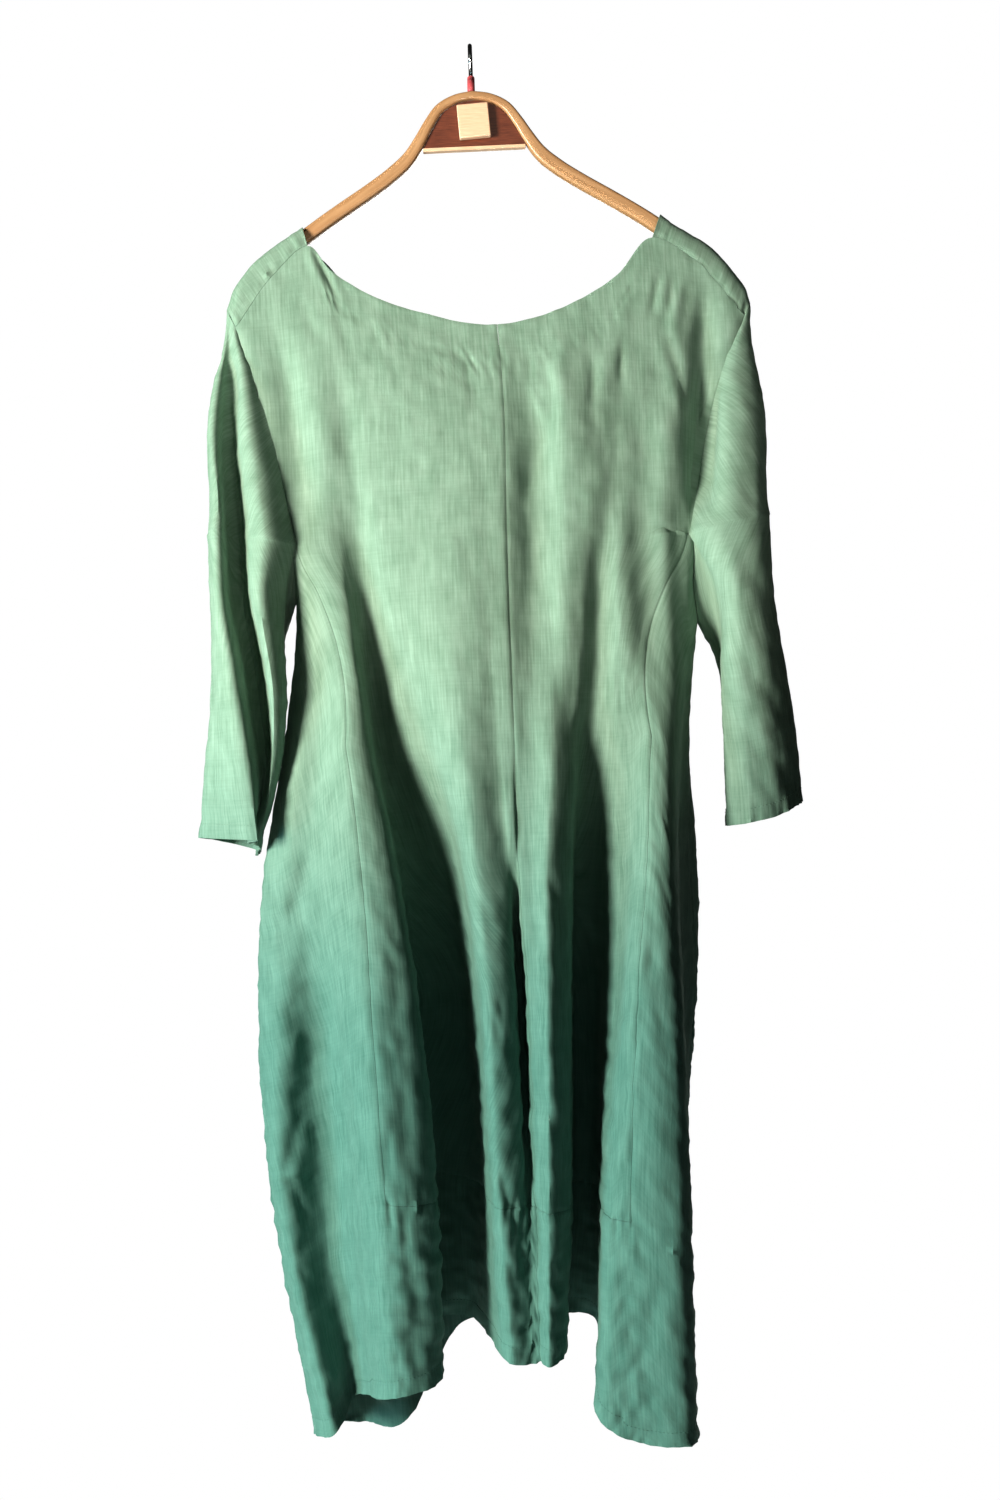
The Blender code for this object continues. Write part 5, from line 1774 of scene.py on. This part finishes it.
@dataclass
class Hook:
    """The steel hook and the red grip round its stem."""

    steel: Material
    grip: Material
    stem: tuple = ((3.4, -27.6), (0.8, -31.0), (0.0, -33.6))
    in_wood: float = 0.3
    loop_samples: int = 16
    samples: int = 90
    around: int = 20
    tip_shares: tuple = (0.45, 0.8, 0.96)
    grip_ends: tuple = (0.6, 0.25, 0.06)
    grip_clear: float = 0.2

    def path(self, first_angle: float) -> np.ndarray:
        """The wire's middle in the plane x = 0, from an angle round the loop down to the wood.

        Args:
            first_angle: where it starts, from straight up and over the front.

        Returns:
            (samples, 3) points.
        """
        radius = HOOK_INNER_RADIUS + WIRE / 2
        turns = np.linspace(first_angle, HOOK_BACK_ANGLE, self.loop_samples)
        loop = np.column_stack([-radius * np.sin(turns), -HOOK_INNER_RADIUS + radius * np.cos(turns)])
        coarse = np.array([*loop, *self.stem, (0.0, HANGER_EDGE[0][1] + self.in_wood)])
        knots = run_of(coarse)
        fine = curve(knots, coarse, np.linspace(0.0, knots[-1], self.samples))
        return np.column_stack([np.zeros(len(fine)), fine])

    def tube(self, path: np.ndarray, radius: np.ndarray) -> np.ndarray:
        """Circles across a path in the plane x = 0.

        Args:
            path: (N, 3) the middle.
            radius: (N,) or one number.

        Returns:
            (N, around, 3) points.
        """
        side = np.array([1.0, 0.0, 0.0])
        lift = np.cross(unit(np.gradient(path, axis=0)), side)
        turn = np.linspace(0.0, 2 * math.pi, self.around, endpoint=False)[None, :, None]
        reach = np.broadcast_to(radius, len(path))[:, None, None]
        return path[:, None] + reach * (np.cos(turn) * side + np.sin(turn) * lift[:, None])

    def build(self) -> None:
        """Makes the wire with a rounded tip, and the grip with rounded ends."""
        path = self.path(HOOK_TIP_ANGLE)
        radius = np.full(len(path), WIRE / 2)
        radius[: len(self.tip_shares)] *= self.tip_shares
        wire = add_mesh("hook_wire", welded(loft(self.tube(path, radius))), self.steel)
        stands_for(wire, "hook")
        covered = self.path(GRIP_TOP_ANGLE)
        radius = np.full(len(covered), GRIP_DIAMETER / 2)
        radius[: len(self.grip_ends)] -= self.grip_ends
        radius[-len(self.grip_ends) :] -= self.grip_ends[::-1]
        outer, inner = self.tube(covered, radius), self.tube(covered, WIRE / 2 + self.grip_clear)
        rings = np.concatenate([outer, inner[::-1], outer[:1]])
        grip = add_mesh("hook_sleeve", welded(loft(rings, capped=False)), self.grip)
        stands_for(grip, "hook_grip")


class Lamp(NamedTuple):
    """A soft rectangular light: place, aim and size in metres, power in watts, colour and spread."""

    name: str
    place: tuple
    aim: tuple
    size: tuple
    power: float
    colour: tuple
    spread_deg: float = 180.0


@dataclass
class Studio:
    """A pale floor, plain soft light and the camera of the photograph's view."""

    lamps: tuple = (
        Lamp("key", (-1.75, -1.45, -0.48), (0.0, 0.0, -0.62), (0.6, 0.9), 120.0, (1.0, 0.97, 0.90)),
        Lamp("cool", (-2.0, -0.7, -1.2), (0.0, 0.0, -0.9), (0.6, 0.9), 26.0, (0.45, 0.88, 1.0)),
        Lamp("front", (0.1, -2.6, 0.9), (0.0, 0.0, -0.4), (1.0, 1.0), 3.0, (0.80, 1.0, 0.86)),
        Lamp("hanger", (0.35, -1.3, -1.0), (0.0, 0.0, -0.12), (0.3, 0.2), 0.30, (1.0, 0.97, 0.92), 32.0),
        Lamp("back", (0.5, 2.6, 0.1), (0.0, 0.0, -0.62), (1.2, 1.2), 46.0, (1.0, 0.98, 0.95)),
    )
    floor_z: float = -1.75
    floor_half: float = 0.94
    floor_colour: tuple = (0.8, 0.8, 0.8, 1.0)
    floor_roughness: float = 0.8
    ambient: float = 0.009
    camera_place: tuple = (0.007, -1.35, -0.605)
    camera_roll_deg: float = 1.8
    lens: float = 37.54
    sensor: float = 36.0
    clip: tuple = (0.05, 30.0)
    gamma: float = 0.88

    def build(self) -> None:
        """Makes the floor, the lights, the pale backdrop and the camera."""
        self.floor()
        for lamp in self.lamps:
            self.light(lamp)
        self.backdrop()
        self.camera()

    def floor(self) -> None:
        """A pale square under the dress."""
        paint = Shader("floor paint")
        paint.set(Base_Color=self.floor_colour, Roughness=self.floor_roughness)
        h, z = self.floor_half, self.floor_z
        mesh = bpy.data.meshes.new("floor")
        mesh.from_pydata([(-h, -h, z), (h, -h, z), (h, h, z), (-h, h, z)], [], [(0, 1, 2, 3)])
        mesh.materials.append(paint.material)
        placed("floor", mesh)

    def light(self, lamp: Lamp) -> None:
        """One area light that looks at its aim: its axes are right, up and away from the aim.

        Args:
            lamp: what it is.
        """
        data = bpy.data.lights.new(lamp.name, "AREA")
        data.shape = "RECTANGLE"
        data.size, data.size_y = lamp.size
        data.energy, data.color = lamp.power, lamp.colour
        data.spread = math.radians(lamp.spread_deg)
        away = unit(np.array(lamp.place) - np.array(lamp.aim))
        right = unit(np.cross((0.0, 0.0, 1.0), away))
        stand = np.eye(4)
        stand[:3] = np.column_stack([right, np.cross(away, right), away, lamp.place])
        placed(lamp.name, data).matrix_world = Matrix(stand.tolist())

    def backdrop(self) -> None:
        """A white background for the camera, and a dim even light for the rest."""
        world = bpy.data.worlds.new("studio")
        world.use_nodes = True
        nodes, links = world.node_tree.nodes, world.node_tree.links
        seen = nodes.new("ShaderNodeLightPath")
        strength = nodes.new("ShaderNodeMix")
        strength.inputs["A"].default_value, strength.inputs["B"].default_value = self.ambient, 1.0
        links.new(seen.outputs["Is Camera Ray"], strength.inputs["Factor"])
        shade = nodes["Background"]
        shade.inputs["Color"].default_value = (1.0, 1.0, 1.0, 1.0)
        links.new(strength.outputs["Result"], shade.inputs["Strength"])
        bpy.context.scene.world = world

    def camera(self) -> None:
        """The photograph's view: level, from the front, rolled a little."""
        data = bpy.data.cameras.new("camera")
        data.lens, data.sensor_width, data.sensor_fit = self.lens, self.sensor, "AUTO"
        data.clip_start, data.clip_end = self.clip
        made = placed("camera", data)
        level = Matrix.Rotation(math.radians(90.0), 4, "X")
        roll = Matrix.Rotation(math.radians(-self.camera_roll_deg), 4, "Z")
        made.matrix_world = Matrix.Translation(self.camera_place) @ level @ roll
        scene = bpy.context.scene
        scene.camera = made
        scene.view_settings.view_transform = "Standard"
        scene.view_settings.look = "None"
        scene.view_settings.exposure, scene.view_settings.gamma = 0.0, self.gamma


def main() -> None:
    """Loads the frame, dresses every node and sets the studio."""
    logging.basicConfig(level=logging.INFO, format="%(name)s: %(message)s")
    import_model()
    Dress(LinenFinish().material()).build()
    bow_wood = WoodFinish(
        "varnished wood", (0.37, 0.195, 0.085), (0.50, 0.285, 0.14), grain=(150.0, 4.0, 1.0), is_bent=True
    )
    Hanger(
        bow_wood.material(),
        WoodFinish("dark board", (0.10, 0.024, 0.012), (0.19, 0.05, 0.024), 0.32).material(),
        WoodFinish("pale wood", (0.70, 0.43, 0.27), (0.80, 0.55, 0.37), 0.5).material(),
    ).build()
    Hook(
        PlainFinish("steel", (0.72, 0.72, 0.72), 0.22, 1.0).material(),
        PlainFinish("red plastic", (0.55, 0.10, 0.11), 0.42).material(),
    ).build()
    Studio().build()
    bpy.context.view_layer.update()


if __name__ == "__main__":
    main()
